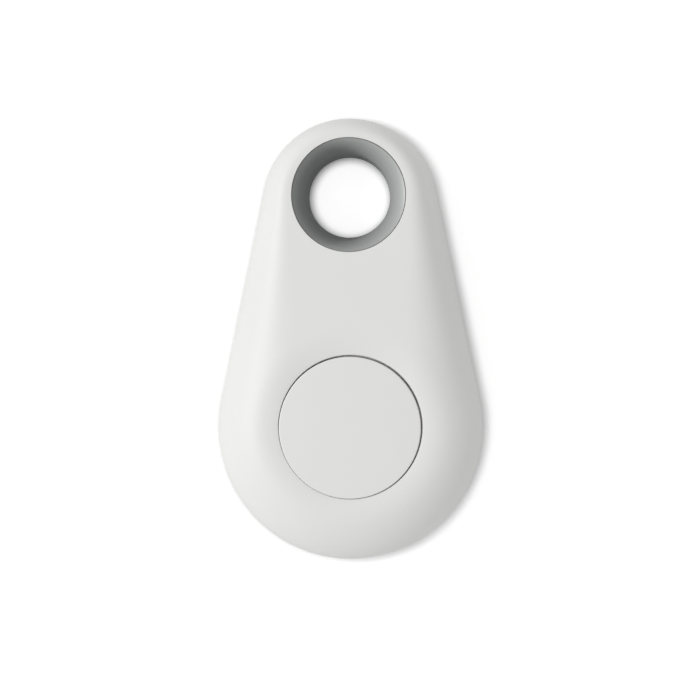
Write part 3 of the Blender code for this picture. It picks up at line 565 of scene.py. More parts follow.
def board_mask(name, colour, roughness):
    """Green solder mask over bundles of straight tracks, copper fills and tinned vias, each via's bore near
    black as painted shade, with a glass weave.

    A square cell holds tracks along X, tracks along Y or a fill: its own random number says which. A via
    stands in the middle of a smaller cell in the same way.
    """
    sheet = Sheet(name)
    place = sheet.place()
    x, y, _ = sheet.axes()

    def cell_number(size):
        """Random number of the square cell that a point is in."""
        corner = sheet.node("ShaderNodeVectorMath", {"operation": "SNAP"}, {0: place, 1: (size, size, 1.0)})
        return sheet.node("ShaderNodeTexWhiteNoise", inputs={"Vector": corner}, output="Value")

    def tracks(value):
        """1 on the lines of a bundle, one in each pitch."""
        return value.fold(TRACK_PITCH / 2) < TRACK_WIDTH / 2

    kind = cell_number(BUNDLE)
    run_x = tracks(y) * (kind < TRACKS_X)
    run_y = tracks(x) * (kind > TRACKS_X) * (kind < TRACKS_Y)
    track = run_x + run_y + (kind > FILL)
    half = VIA_CELL / 2
    reach = distance((x - half).fold(half), (y - half).fold(half))
    chosen = cell_number(VIA_CELL) > VIA_LIMIT
    ring = (reach < VIA_RADIUS) * chosen
    bore = (reach < VIA_RADIUS * VIA_BORE) * chosen
    weave = sheet.node("ShaderNodeTexWave", {"wave_type": "BANDS"},
                       {"Vector": place, "Scale": 900.0, "Distortion": 1.2}, output="Fac")
    clouds = sheet.noise(160.0, 3.0)
    base = sheet.shades(clouds, colour, 0.80, 1.15)
    over_track = (*(channel * gain for channel, gain in zip(colour, TRACK_GAIN)), 1.0)
    base = sheet.blend(track * 0.8, base, over_track)
    base = sheet.blend(ring, base, VIA_TIN)
    # Painted shade: each via's bore is near black.
    base = sheet.blend(bore, base, VIA_BORE_SHADE)
    height = track * 0.5 + weave * 0.10 + ring * 0.3 - bore
    return sheet.set(base_color=base, metallic=ring - bore, roughness=weave * 0.05 + ring * 0.1 + roughness,
                     normal=sheet.bump(height, 0.000012, 0.7))


def end_capped(name, colour, roughness, node):
    """Fired ceramic parts whose two ends are tinned: the tin starts at a set distance from the middle."""
    sheet = Sheet(name)
    x, _, _ = sheet.axes()
    grain = sheet.noise(5200.0, 3.0, 0.7)
    wavy = grain.swing(0.00006)
    tinned = (abs(x - axis_of(node)[0]) + wavy) > radius_of(node) * 2 * TIN_START
    tin = sheet.blend(grain, TIN_DARK, TIN_LIGHT)
    base = sheet.blend(tinned, sheet.shades(grain, colour, 0.82, 1.12), tin)
    sheen = grain.swing(0.2) + roughness - tinned * 0.12
    return sheet.set(base_color=base, metallic=tinned, roughness=sheen, normal=sheet.bump(grain, 0.000006))


def grainy(name, colour, roughness, scale=3000.0, depth=0.000006, spread=0.2):
    """Pressed or cast stuff: fine grain over soft blotches."""
    sheet = Sheet(name)
    grain = sheet.noise(scale, 4.0, 0.65)
    blotch = sheet.noise(scale / 9, 2.0)
    base = sheet.shades(grain * 0.6 + blotch * 0.4, colour, 1 - spread, 1 + spread)
    sheen = grain.swing(0.25) + roughness
    return sheet.set(base_color=base, roughness=sheen, normal=sheet.bump(grain, depth))


def dull_metal(name, colour, roughness, scale=1800.0):
    """Plated or soft metal: patchy sheen and shallow pits."""
    sheet = Sheet(name)
    patch = sheet.noise(scale, 4.0, 0.6)
    base = sheet.shades(patch, colour, 0.85, 1.12)
    return sheet.set(base_color=base, metallic=1.0, roughness=patch.swing(0.3) + roughness,
                     normal=sheet.bump(patch, 0.000004))


def chip_plastic(name, colour, roughness):
    """Black moulding compound with a round mark over pin 1."""
    sheet = Sheet(name)
    low, high = span("bluetooth_chip")
    x, y, _ = sheet.axes()
    mark = distance(x - (low[0] + MARK_INSET), y - (high[1] - MARK_INSET)) < MARK_RADIUS
    grain = sheet.noise(7000.0, 3.0, 0.7)
    base = sheet.blend(mark, sheet.shades(grain, colour, 0.8, 1.5), MARK_GREY)
    sheen = grain.swing(0.2) + mark * -0.15 + roughness
    return sheet.set(base_color=base, roughness=sheen, normal=sheet.bump(grain - mark, 0.00001))


def inner_finishes(case):
    """A material for each slot that the inner pieces use, and the radio chip's own."""
    return {
        "white_plastic": moulded_plastic("white_inner", case.colour, case.roughness),
        "grey_plastic": moulded_plastic("grey_inner", (0.24, 0.245, 0.24), 0.4),
        "natural_plastic": moulded_plastic("natural_moulding", (0.66, 0.63, 0.55), 0.46),
        "black_plastic": moulded_plastic("black_moulding", (0.022, 0.022, 0.024), 0.48),
        "board_laminate": board_mask("board_mask", (0.010, 0.105, 0.040), 0.26),
        "gold_plate": dull_metal("gold_finish", (0.86, 0.60, 0.27), 0.26),
        "spring_steel": brushed_metal("spring_finish", (0.66, 0.65, 0.62), 0.28),
        "can_steel": cell_steel("nickel_finish", (0.72, 0.71, 0.69), 0.24),
        "screw_steel": brushed_metal("screw_finish", (0.58, 0.58, 0.59), 0.30, (900.0, 900.0, 160.0), 0.2),
        "coil_copper": dull_metal("winding_finish", (0.70, 0.30, 0.14), 0.30, 5000.0),
        "ferrite": grainy("ferrite_finish", (0.055, 0.053, 0.052), 0.55),
        "ceramic_tan": grainy("tan_ceramic", (0.30, 0.24, 0.18), 0.5, 5200.0, 0.000004),
        "ceramic_black": grainy("black_ceramic", (0.030, 0.029, 0.028), 0.4, 5200.0, 0.000004),
        "cell_mix": grainy("cathode_mix", (0.030, 0.029, 0.028), 0.85, 2400.0, 0.00002, 0.4),
        "cell_felt": grainy("separator_felt", (0.72, 0.71, 0.68), 0.9, 4200.0, 0.00002, 0.12),
        "lithium": dull_metal("lithium_finish", (0.60, 0.60, 0.58), 0.48, 900.0),
        "chip": chip_plastic("chip_moulding", (0.020, 0.020, 0.021), 0.42),
    }


# ---------------------------------------------------------------- surfaces


def grid(points, closed=True):
    """Vertices and four-sided faces of a grid of points (rows, columns, 3); closed joins the last column."""
    rows, columns = points.shape[:2]
    index = np.arange(rows * columns).reshape(rows, columns)
    after = np.roll(index, -1, axis=1)
    if not closed:
        index, after = index[:, :-1], after[:, :-1]
    faces = np.stack([index[:-1], index[1:], after[1:], after[:-1]], axis=-1)
    return points.reshape(-1, 3), faces.reshape(-1, 4)


def close_mesh(mesh, reach):
    """Merge points closer than reach, turn faces outwards, and smooth all but the sharp edges."""
    shape = bmesh.new()
    shape.from_mesh(mesh)
    bmesh.ops.remove_doubles(shape, verts=shape.verts, dist=reach)
    bmesh.ops.dissolve_degenerate(shape, edges=shape.edges, dist=reach / 2)
    bmesh.ops.recalc_face_normals(shape, faces=shape.faces)
    shape.to_mesh(mesh)
    shape.free()
    mesh.shade_smooth()
    mesh.set_sharp_from_angle(angle=SHARP)


def build(name, patches, material, body, nodes=()):
    """One mesh from patches: seams and poles are merged, faces point outwards, round faces are smooth."""
    vertices, faces, count = [], [], 0
    for points, quads in patches:
        vertices.append(points)
        faces.append(quads + count)
        count += len(points)
    mesh = bpy.data.meshes.new(name)
    mesh.from_pydata(np.concatenate(vertices).tolist(), [], np.concatenate(faces).tolist())
    close_mesh(mesh, MERGE)
    mesh.materials.append(material)
    piece = bpy.data.objects.new(name, mesh)
    bpy.context.scene.collection.objects.link(piece)
    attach(piece, body)
    if nodes:
        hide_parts(*nodes)
    return piece


def rounded(profile, radius, steps=4):
    """A profile whose corners become short curves, each a blend of the corner and a point on either side."""
    profile = np.asarray(profile, float)
    out = [profile[:1]]
    t = np.linspace(0, 1, steps + 1)[:, None]
    for before, corner, after in zip(profile, profile[1:], profile[2:]):
        back, ahead = before - corner, after - corner
        back_length, ahead_length = np.linalg.norm(back), np.linalg.norm(ahead)
        bend = np.cross(back, ahead) / (back_length * ahead_length)
        if abs(bend) < LEAST_BEND:
            out.append(corner[None])
            continue
        reach = min(radius, CORNER_SHARE * back_length, CORNER_SHARE * ahead_length)
        start = corner + back / back_length * reach
        end = corner + ahead / ahead_length * reach
        out.append((1 - t) ** 2 * start + 2 * t * (1 - t) * corner + t ** 2 * end)
    return np.concatenate([*out, profile[-1:]])


def circle(steps):
    """Unit vectors from the middle of a circle to points evenly spaced round it."""
    angle = np.arange(steps) * TURN / steps
    return np.stack([np.cos(angle), np.sin(angle)], axis=-1)


def at_height(flat, z):
    """Points in a row, from their (x, y) and one height or one for each."""
    return np.column_stack([flat, np.broadcast_to(z, len(flat))])


def rings(axis, way, section):
    """A row of points for each (radius, z) of a section: the axis plus each way times the radius."""
    return [at_height(axis + way * radius, z) for radius, z in section]


def turned(profile, axis, steps):
    """Grid of (radius, z) points turned about an upright axis: x and y are radius times cosine and sine."""
    return grid(np.array(rings(axis, circle(steps), profile)))


def spin(name, node, profile, axis, steps, material, body):
    """A piece that is turned about an upright axis and stands for one frame node."""
    return build(name, [turned(profile, axis, steps)], material, body, [node])


# ---------------------------------------------------------------- the teardrop and its covers


def lean_of(lower, upper, upper_y):
    """Angle by which the sides of a teardrop lean in."""
    return np.arcsin((lower - upper) / (upper_y - LOWER_Y))


def outside(x, y, lower, upper, upper_y):
    """Distance by which points lie outside a teardrop: to its lower arc, upper arc or straight side."""
    lean = lean_of(lower, upper, upper_y)
    x, up = np.abs(x), y - LOWER_Y
    along = up * np.cos(lean) - x * np.sin(lean)
    reach = (upper_y - LOWER_Y) * np.cos(lean)
    side = x * np.cos(lean) + up * np.sin(lean) - lower
    gap = np.where(along < 0, np.hypot(x, up) - lower, side)
    return np.where(along > reach, np.hypot(x, y - upper_y) - upper, gap)


class Shoulder:
    """A family of teardrops that runs in from the rim (share 0) to the edge of the flat face (share 1)."""

    def __init__(self, case, width, flat_radius, inset, rim_z, face_z):
        self.lower = LOWER_RADIUS - inset
        self.upper = case.upper_radius - inset
        self.upper_y = CASE_HIGH[1] - case.upper_radius
        self.width = width
        self.narrowing = case.upper_radius - flat_radius
        self.rim_z = rim_z
        self.face_z = face_z

    def at(self, part):
        """Lower radius, upper radius and upper centre of the teardrop at this share."""
        upper_y = self.upper_y + part * (EYELET_AXIS[1] - self.upper_y)
        return self.lower - part * self.width, self.upper - part * self.narrowing, upper_y

    def height(self, x, y):
        """Height of the surface: a rounded quarter of an oval across the shoulder, by a point's share in it.

        The share is found by halving the range that it lies in.
        """
        low, high = np.zeros_like(x), np.ones_like(x)
        for _ in range(HALVINGS):
            middle = (low + high) / 2
            out = outside(x, y, *self.at(middle)) > 0
            high = np.where(out, middle, high)
            low = np.where(out, low, middle)
        rise = (1 - (1 - low) ** SHOULDER_FULLNESS) ** (1 / SHOULDER_ROUNDNESS)
        return self.rim_z + (self.face_z - self.rim_z) * rise


def case_loops(lower, upper, upper_y):
    """Two loops round the button and round the eyelet, which share a straight line across the neck.

    Each loop lists its part of the outline first, then the points of the shared line.
    """
    lean = lean_of(lower, upper, upper_y)
    cosine, sine = np.cos(lean), np.sin(lean)
    middle_y = (BUTTON_AXIS[1] + EYELET_AXIS[1]) / 2
    low_end = np.array([lower * cosine, LOWER_Y + lower * sine])
    high_end = np.array([upper * cosine, upper_y + upper * sine])
    corner = low_end + (high_end - low_end) * (middle_y - low_end[1]) / (high_end[1] - low_end[1])
    mirror = np.array([-1.0, 1.0])
    t = np.linspace(0, 1, SIDE_POINTS + 1)[:, None]
    rise = low_end + (corner - low_end) * t
    climb = corner + (high_end - corner) * t
    low_angle = np.linspace(math.pi - lean, TURN + lean, LOWER_POINTS + 1)[1:-1]
    high_angle = np.linspace(lean, math.pi - lean, UPPER_POINTS + 1)[1:-1]
    low_arc = np.stack([np.cos(low_angle), np.sin(low_angle)], axis=-1) * lower + (0.0, LOWER_Y)
    high_arc = np.stack([np.cos(high_angle), np.sin(high_angle)], axis=-1) * upper + (0.0, upper_y)
    spread = np.cos(np.linspace(0, math.pi, MIDDLE_POINTS + 1))[1:-1, None]
    cross = spread * (corner[0], 0.0) + (0.0, middle_y)
    lower_loop = np.concatenate([(rise * mirror)[::-1], low_arc, rise])
    upper_loop = np.concatenate([climb, high_arc, (climb * mirror)[::-1]])
    whole_lower = np.concatenate([lower_loop, cross])
    whole_upper = np.concatenate([upper_loop, cross[::-1]])
    return (lower_loop, whole_lower), (upper_loop, whole_upper)


def rim_loop(case, inset):
    """The whole outline, moved in by inset, as one loop."""
    upper_y = CASE_HIGH[1] - case.upper_radius
    lower_part, upper_part = case_loops(LOWER_RADIUS - inset, case.upper_radius - inset, upper_y)
    return np.concatenate([lower_part[0][:-1], upper_part[0][:-1]])


def rim_patch(case, section):
    """A section of (inset, z) carried round the outline."""
    return grid(np.array([at_height(rim_loop(case, inset), z) for inset, z in section]))


def face_patch(loop, axis, hole, edge, height, rows):
    """Rows from a round hole (radius hole, at axis) straight out to a loop, at the height of the surface.

    Rows are close together where the hole's edge is rounded, and again near the loop, where it is steep.
    """
    out = loop - axis
    reach = np.linalg.norm(out, axis=1)
    way = out / reach[:, None]
    fillet = edge * (1 - np.cos(np.linspace(0, math.pi / 2, FILLET_ROWS)[:-1])) if edge else np.zeros(0)
    rest = np.sin(np.linspace(0, math.pi / 2, rows))
    far = edge + (reach - hole - edge) * rest[:, None]
    steps = np.concatenate([np.broadcast_to(fillet[:, None], (len(fillet), len(loop))), far])
    flat = axis + way * (hole + steps)[..., None]
    z = height(flat[..., 0], flat[..., 1])
    if edge:
        z = z - edge + np.sqrt(np.clip(edge ** 2 - np.clip(edge - steps, 0, edge) ** 2, 0, None))
    return np.concatenate([flat, z[..., None]], axis=-1), way


def hole_wall(axis, way, start, section, end):
    """Rows down the wall of a hole: from the row start, through (radius, z) pairs, to the row end."""
    return grid(np.array([start, *rings(axis, way, section), end]))


def dish(case, button):
    """Depth of the dished band: full at the button's opening, less by a power of the distance from it."""

    def depth(x, y):
        away = np.hypot(x - BUTTON_AXIS[0], y - BUTTON_AXIS[1]) - button.radius - button.gap
        return case.dish_depth * np.clip(1 - away / case.dish_width, 0, 1) ** DISH_FADE

    return depth


def front_cover(case, button, eyelet, material):
    """Front cover: shoulders, dish, two round openings, lap skirt and a collar round the eyelet.

    The top's height is the shoulder's height less the depth of the dish.
    """
    skirt_top = LIP_TOP + case.parting_gap
    inside_z = THICKNESS - case.wall
    flat = eyelet.mouth + case.front_land
    outer = Shoulder(case, case.front_shoulder, flat, 0.0, FRONT_RIM + case.edge, THICKNESS)
    inner = Shoulder(case, case.front_shoulder, flat, case.wall, skirt_top + INNER_STRAIGHT, inside_z)
    depth = dish(case, button)
    openings = ((BUTTON_AXIS, button.radius + button.gap, 0.0, inside_z + case.edge),
                (EYELET_AXIS, eyelet.mouth + eyelet.gap, case.collar, inside_z - case.wall))
    outer_loops = case_loops(*outer.at(0.0))
    inner_loops = case_loops(*inner.at(0.0))
    patches = []
    for (_, loop), (_, inner_loop), (axis, hole, collar, low_z) in zip(outer_loops, inner_loops, openings):
        top, way = face_patch(loop, axis, hole, case.edge / 2 if collar else case.edge,
                              lambda x, y: outer.height(x, y) - depth(x, y), TOP_ROWS)
        under, _ = face_patch(inner_loop, axis, hole + collar, 0.0, inner.height, UNDER_ROWS)
        section = [(hole, low_z)] + ([(hole + collar, low_z)] if collar else [])
        patches += [grid(top), grid(under), hole_wall(axis, way, top[0], section, under[0])]
    section = rounded([(0.0, FRONT_RIM + case.edge), (0.0, FRONT_RIM), (case.skirt, FRONT_RIM),
                       (case.skirt, skirt_top), (case.wall, skirt_top),
                       (case.wall, skirt_top + INNER_STRAIGHT)], case.edge)
    patches.append(rim_patch(case, section))
    build("front_cover", patches, material, "front_half", ["front_shell"])
    for number in SCREW_NUMBERS:
        screw_boss(case, inner, number, material)


def screw_boss(case, inner, number, material):
    """Boss over one board screw: it rises half way into the wall over it, and its bore ends in a cone."""
    screw = f"board_screw_{number}"
    axis = axis_of(screw)
    foot = BOARD_TOP + BOSS_GAP
    end = levels_of(screw)[1] + BOSS_GAP
    bore = SCREW_SHANK + BOSS_BORE_FIT
    way = circle(BOSS_STEPS)
    top = [at_height(flat, inner.height(flat[:, 0], flat[:, 1]) + case.wall / 2)
           for flat in (axis + way * radius for radius in (0.0, case.boss_radius))]
    below = [(case.boss_radius, foot + case.edge), (case.boss_radius - case.edge, foot), (bore, foot),
             (bore, end - SCREW_SHANK), (BOSS_BORE_FIT, end), (0.0, end)]
    patch = grid(np.array([*top, *rings(axis, way, below)]))
    build(f"screw_boss_{number}", [patch], material, "front_half")


def rear_cover(case, eyelet, material):
    """Rear cover: flat back with rounded edges, lap lip, collar, sound holes and a notch to pry it open.

    Its outside and its inside are two shoulders, and the lip is a section carried round the outline.
    """
    rim = FRONT_RIM - case.parting_gap
    flat = eyelet.rear_mouth + case.rear_land
    outer = Shoulder(case, case.rear_shoulder, flat, 0.0, rim - case.edge, 0.0)
    inner = Shoulder(case, case.rear_shoulder, flat, case.wall, rim - INNER_STRAIGHT, case.wall)
    collar_end = case.wall + REAR_COLLAR
    hole = eyelet.rear_mouth + eyelet.gap
    outer_loops = case_loops(*outer.at(0.0))
    inner_loops = case_loops(*inner.at(0.0))
    patches = []
    for (_, loop), height in ((outer_loops[0], outer.height), (inner_loops[0], inner.height)):
        patches.append(grid(face_patch(loop, CELL_AXIS, 0.0, 0.0, height, BACK_ROWS)[0]))
    back, way = face_patch(outer_loops[1][1], EYELET_AXIS, hole, 0.0, outer.height, BACK_ROWS)
    floor, _ = face_patch(inner_loops[1][1], EYELET_AXIS, hole + case.collar, 0.0, inner.height,
                          BACK_RING_ROWS)
    section = [(hole, collar_end), (hole + case.collar, collar_end)]
    patches += [grid(back), grid(floor), hole_wall(EYELET_AXIS, way, back[0], section, floor[0])]
    lip = rounded([(0.0, rim - case.edge), (0.0, rim), (case.lip_inset, rim), (case.lip_inset, LIP_TOP),
                   (case.wall, LIP_TOP), (case.wall, rim - INNER_STRAIGHT)], case.edge)
    patches.append(rim_patch(case, lip))
    cover = build("rear_cover", patches, material, "rear_half", ["rear_shell"])
    cut_openings(cover, rim)


def cut_openings(cover, rim):
    """Cut three sound holes under the buzzer, and the notch at the end of the parting line."""
    buzzer_y = axis_of("buzzer_housing")[1]
    tools = []
    for place in SOUND_HOLES:
        axis = np.array([place * SOUND_HOLE_PITCH, buzzer_y])
        rod = [(0.0, CUT_HIGH), (SOUND_HOLE_RADIUS, CUT_HIGH), (SOUND_HOLE_RADIUS, CUT_LOW), (0.0, CUT_LOW)]
        tools.append(turned(rod, axis, SOUND_HOLE_STEPS))
    width, depth, height = NOTCH
    low = np.array([-width / 2, CASE_LOW[1] - depth, rim - height])
    high = np.array([width / 2, CASE_LOW[1] + depth, rim + CUT_OVERLAP])
    corner = np.array([(x, y) for x, y in ((1, 0), (1, 1), (0, 1), (0, 0))], float)
    rows = []
    for z, spread in ((1, 0), (1, 1), (0, 1), (0, 0)):
        ring = low + at_height(corner, z) * (high - low)
        middle = ring.mean(axis=0)
        rows.append(middle + (ring - middle) * spread)
    tools.append(grid(np.array(rows)))
    for number, tool in enumerate(tools):
        cutter = build(f"cutter_{number}", [tool], cover.data.materials[0], "rear_half")
        step = cover.modifiers.new("cut", "BOOLEAN")
        step.object = cutter
        step.solver = "EXACT"
        bpy.context.view_layer.objects.active = cover
        bpy.ops.object.modifier_apply(modifier=step.name)
        bpy.data.objects.remove(cutter)
    close_mesh(cover.data, CUT_MERGE)


# ---------------------------------------------------------------- eyelet and button


def flare(eyelet, throat_z, mouth_z, mouth):
    """Points from throat to mouth on an ellipse that is upright at the throat, tilted back past a crease."""
    angle = np.linspace(0, FLARE_ANGLE, FLARE_POINTS)
    out = (1 - np.cos(angle)) / (1 - math.cos(FLARE_ANGLE))
    up = np.sin(angle) / math.sin(FLARE_ANGLE)
    radius = eyelet.throat + (mouth - eyelet.throat) * out
    dip = CREASE_TILT * np.clip(out - CREASE, 0, 1) * np.clip(1 - out, 0, 1)
    return np.column_stack([radius, throat_z + (mouth_z - throat_z) * (up - dip)])


def eyelet_half(which, case, eyelet, mouth, material):
    """Half of the eyelet: flared mouth, flange and tube, as one closed profile turned about its axis."""
    node = f"{which}_eyelet"
    front = which == "front"
    foot, top = levels_of(node)
    flange = radius_of(node)
    mouth_z, throat_z = (top, foot) if front else (foot, top)
    collar_end = THICKNESS - 2 * case.wall - eyelet.gap if front else case.wall + REAR_COLLAR + eyelet.gap
    side = 1 if front else -1
    edge = EYELET_EDGE
    flange_end = collar_end - side * FLANGE_THICKNESS
    tube = eyelet.throat + eyelet.wall
    inner = flare(eyelet, throat_z + side * eyelet.wall / 2, mouth_z, mouth - edge)
    outer = [(mouth - edge, mouth_z), (mouth, mouth_z - side * edge), (mouth, collar_end),
             (flange, collar_end), (flange, flange_end), (tube, flange_end), (tube, throat_z),
             (eyelet.throat, throat_z), tuple(inner[0])]
    profile = np.concatenate([inner, rounded(outer, edge * EYELET_ROUNDING)[1:]])
    return spin(f"{which}_ring", node, profile, EYELET_AXIS, ROUND_STEPS, material, f"{which}_half")


def button_disc(case, button, material):
    """Button: disc with a rounded edge, retaining flange, skirt and centre post, as one turned profile."""
    post_end, top = levels_of("button_cap")
    flange = radius_of("button_cap")
    flange_top = THICKNESS - case.wall - FLANGE_GAP
    flange_low = flange_top - FLANGE_THICKNESS
    under = top - button.thickness
    skirt = button.radius - button.skirt
    profile = rounded([(0.0, top), (button.radius, top), (button.radius, flange_top), (flange, flange_top),
                       (flange, flange_low), (skirt, flange_low), (skirt, under), (button.post, under),
                       (button.post, post_end), (0.0, post_end)], button.edge, 6)
    axis = BUTTON_AXIS + BUTTON_LEAN * button.play
    spin("button_disc", "button_cap", profile, axis, ROUND_STEPS, material, "button")


# ---------------------------------------------------------------- inner pieces


def bar(low, high, corner, stations):
    """A rounded rectangle carried along X: each station gives (x share, inset), and flat ends close it.

    Its corners are quarter circles, so a point is its corner's centre plus a circle of its radius.
    """
    middle, half = (low + high) / 2, (high - low) / 2
    quarter = math.pi / 2
    angle = np.concatenate([np.linspace(start, start + quarter, CORNER_POINTS)
                            for start in np.arange(4) * quarter])
    way = np.stack([np.cos(angle), np.sin(angle)], axis=-1)
    side = np.repeat(np.array([(1, 1), (-1, 1), (-1, -1), (1, -1)], float), CORNER_POINTS, axis=0)
    rows = []
    for part, inset in stations:
        reach = max(corner - inset, corner * LEAST_CORNER)
        ring = middle[1:] + (side * (half[1:] - inset - reach) + reach * way)
        rows.append(np.column_stack([np.full(len(ring), middle[0] + part * half[0]), ring]))
    return grid(np.array(closed_ends(rows)))


def closed_ends(rows):
    """Rows with one more at each end, in which every point is the middle of the row next to it."""
    ends = [np.broadcast_to(row.mean(axis=0), row.shape) for row in (rows[0], rows[-1])]
    return [ends[0], *rows, ends[1]]


def block_stations(half_length, corner, cap=0.0, proud=0.0):
    """Stations of a block with rounded ends, and if cap isn't 0, with end caps that stand proud of it."""
    round_part = corner / half_length
    face = [(1.0, corner), (1 - END_CURVE[0] * round_part, END_CURVE[1] * corner), (1 - round_part, 0.0)]
    if cap:
        start = 1 - cap / half_length
        face += [(start + CAP_RAMP, 0.0), (start, proud)]
    return [(-part, inset) for part, inset in face] + face[::-1]


def small_part(name, node, material):
    """Chip capacitor, resistor or inductor: a rounded body between two slightly proud tinned ends."""
    half = radius_of(node)
    stations = block_stations(half, SMALL_CORNER, cap=half * (1 - 2 * TIN_START), proud=SMALL_PROUD)
    build(name, [bar(*span(node), SMALL_CORNER, stations)], material, "front_half", [node])


def plain_block(name, node, material, corner):
    """A block with rounded edges in the place of a frame node."""
    patch = bar(*span(node), corner, block_stations(radius_of(node), corner))
    build(name, [patch], material, "front_half", [node])


def chip_pads(material):
    """Row of flat solder pads along each side of the radio chip, half under it, as one mesh."""
    middle = axis_of("bluetooth_chip")
    edge = radius_of("bluetooth_chip")
    pad_z = levels_of("bluetooth_chip")[0] - PAD_DROP
    corner = PAD_THICKNESS / 3
    patches = []
    for place in (np.arange(PAD_COUNT) - (PAD_COUNT - 1) / 2) * PAD_PITCH:
        for side in (-edge, edge):
            for size, shift in (((PAD_LENGTH, PAD_WIDTH), (side, place)),
                                ((PAD_WIDTH, PAD_LENGTH), (place, side))):
                centre = np.array([*(middle + shift), pad_z])
                half = np.array([*size, PAD_THICKNESS]) / 2
                patches.append(bar(centre - half, centre + half, corner, block_stations(half[0], corner)))
    build("radio_pads", patches, material, "front_half")


def threaded_screw(number, material):
    """Screw: pan head with a cross recess, and a shank whose radius follows a helix of rounded ridges."""
    node = f"board_screw_{number}"
    foot, top = levels_of(node)
    axis, head = axis_of(node), radius_of(node)
    angle = np.arange(SCREW_STEPS) * TURN / SCREW_STEPS
    way = circle(SCREW_STEPS)
    rows = []
    for part in np.linspace(0, 1, SCREW_FACE_ROWS):
        flat = way * (head * part * SCREW_FACE)
        inside = 1 - head * part * SCREW_FACE / SCREW_CROSS
        cross = (np.abs(flat).min(axis=1) < SCREW_SLOT / 2) & (inside > 0)
        sink = np.where(cross, SCREW_SINK * np.clip(inside * SCREW_SLOPE + SCREW_STEP, 0, 1), 0.0)
        rows.append(at_height(axis + flat, foot + SCREW_DOME * part ** 2 + sink))
    under = foot + SCREW_HEAD
    side = rounded([(head * SCREW_FACE, foot + SCREW_DOME), (head, foot + SCREW_DOME + SCREW_EDGE),
                    (head, under), (SCREW_SHANK, under)], SCREW_ROUNDING)
    rows += rings(axis, way, side[1:])
    for z in np.linspace(under + THREAD_START, top, SCREW_SHANK_ROWS):
        ridge = 0.5 + 0.5 * np.cos(TURN * (z - foot) / SCREW_PITCH - angle)
        point = np.clip((top - z) / SCREW_SHANK, SCREW_POINT, 1)
        radius = (SCREW_SHANK - SCREW_DEPTH * (1 - ridge ** 3)) * point
        rows.append(at_height(axis + way * radius[:, None], z))
    rows += rings(axis, way, [(0.0, top)])
    build(f"screw_{number}", [grid(np.array(rows))], material, "front_half", [node])


def winding(material):
    """Voice coil: turns of wire, so the outer wall is a row of small arcs."""
    foot, top = levels_of("buzzer_coil")
    turns = int((top - foot) / WIRE)
    z = np.linspace(foot, top, turns * WIRE_POINTS + 1)
    bulge = np.abs(np.sin((z - foot) / (top - foot) * math.pi * turns))
    wall = np.column_stack([radius_of("buzzer_coil") - WIRE * WIRE_GROOVE * (1 - bulge), z])
    inner = radius_of("buzzer_core") + COIL_FIT
    profile = np.concatenate([wall, [(inner, top), (inner, foot)], wall[:1]])
    spin("coil_winding", "buzzer_coil", profile, axis_of("buzzer_coil"), WINDING_STEPS, material,
         "front_half")


def cell_pieces(finish):
    """Coin cell: can with a rolled rim, pressed cap and seal, each a rounded profile that is turned."""
    skin = CELL_SKIN
    foot, rim = levels_of("cell_can")
    radius = radius_of("cell_can")
    bore = radius - skin
    can = [(0.0, foot + skin), (bore, foot + skin), (bore, rim - 2 * skin), (bore - skin, rim - skin),
           (bore - skin, rim), (bore, rim), (radius, rim - skin), (radius, foot), (0.0, foot)]
    foot, top = levels_of("cell_cap")
    edge = radius_of("cell_cap")
    sunk = top - CAP_DISH
    cap = [(0.0, sunk), (edge * CAP_FLAT, sunk), (edge * CAP_RISE, top), (edge - CAP_SHOULDER * skin, top),
           (edge, top - skin), (edge, foot), (edge - skin, foot), (edge - skin, top - skin),
           (0.0, top - skin)]
    foot, top = levels_of("cell_gasket")
    outer = radius_of("cell_gasket")
    seal = [(outer, foot), (outer, top), (outer - skin, top), (outer - skin, foot), (outer, foot)]
    for name, node, slot, corners, rounding, steps in (
            ("cell_case", "cell_can", "can_steel", can, CAN_ROUNDING, 6),
            ("cell_lid", "cell_cap", "can_steel", cap, CAP_ROUNDING, 6),
            ("cell_seal", "cell_gasket", "natural_plastic", seal, SEAL_ROUNDING, 3)):
        profile = rounded(corners, rounding, steps)
        spin(name, node, profile, CELL_AXIS, CELL_STEPS, finish[slot], "cell")


def leaf(material):
    """Arched leaf contact with a round dimple: its height is a cosine along it, less a bump in the middle."""
    low, high = span("negative_contact")
    middle, half = (low + high) / 2, (high - low) / 2
    u, v = np.meshgrid(*(np.linspace(-1, 1, points) for points in LEAF_POINTS), indexing="ij")
    taper = 1 - LEAF_TAPER * np.clip(np.abs(u) - LEAF_TAPER_START, 0, 1) ** LEAF_TAPER_CURVE
    x = middle[0] + u * half[0]
    y = middle[1] + v * taper * half[1]
    arch = (high[2] - low[2] - LEAF) * (1 - np.cos(math.pi * u)) / 2
    bump = DIMPLE * np.exp(-((x - middle[0]) ** 2 + (y - middle[1]) ** 2) / DIMPLE_RADIUS ** 2)
    under = np.stack([x, y, low[2] + arch - bump], axis=-1)
    over = under + (0.0, 0.0, LEAF)
    rows = closed_ends(np.concatenate([under, over[:, ::-1]], axis=1))
    build("leaf_contact", [grid(np.array(rows))], material, "front_half", ["negative_contact"])


def plunger(material):
    """Switch plunger with a slightly domed top, as one rounded profile turned about its axis."""
    foot, top = levels_of("switch_plunger")
    flange, radius = radius_of("switch_plunger"), PLUNGER_RADIUS
    shoulder = foot + PLUNGER_FLANGE
    profile = rounded([(0.0, top), (radius * CROWN_SHARE, top - PLUNGER_CROWN[0]),
                       (radius, top - PLUNGER_CROWN[1]), (radius, shoulder), (flange, shoulder),
                       (flange, foot), (0.0, foot)], PLUNGER_ROUNDING)
    spin("switch_button", "switch_plunger", profile, axis_of("switch_plunger"), SWITCH_STEPS, material,
         "plunger")


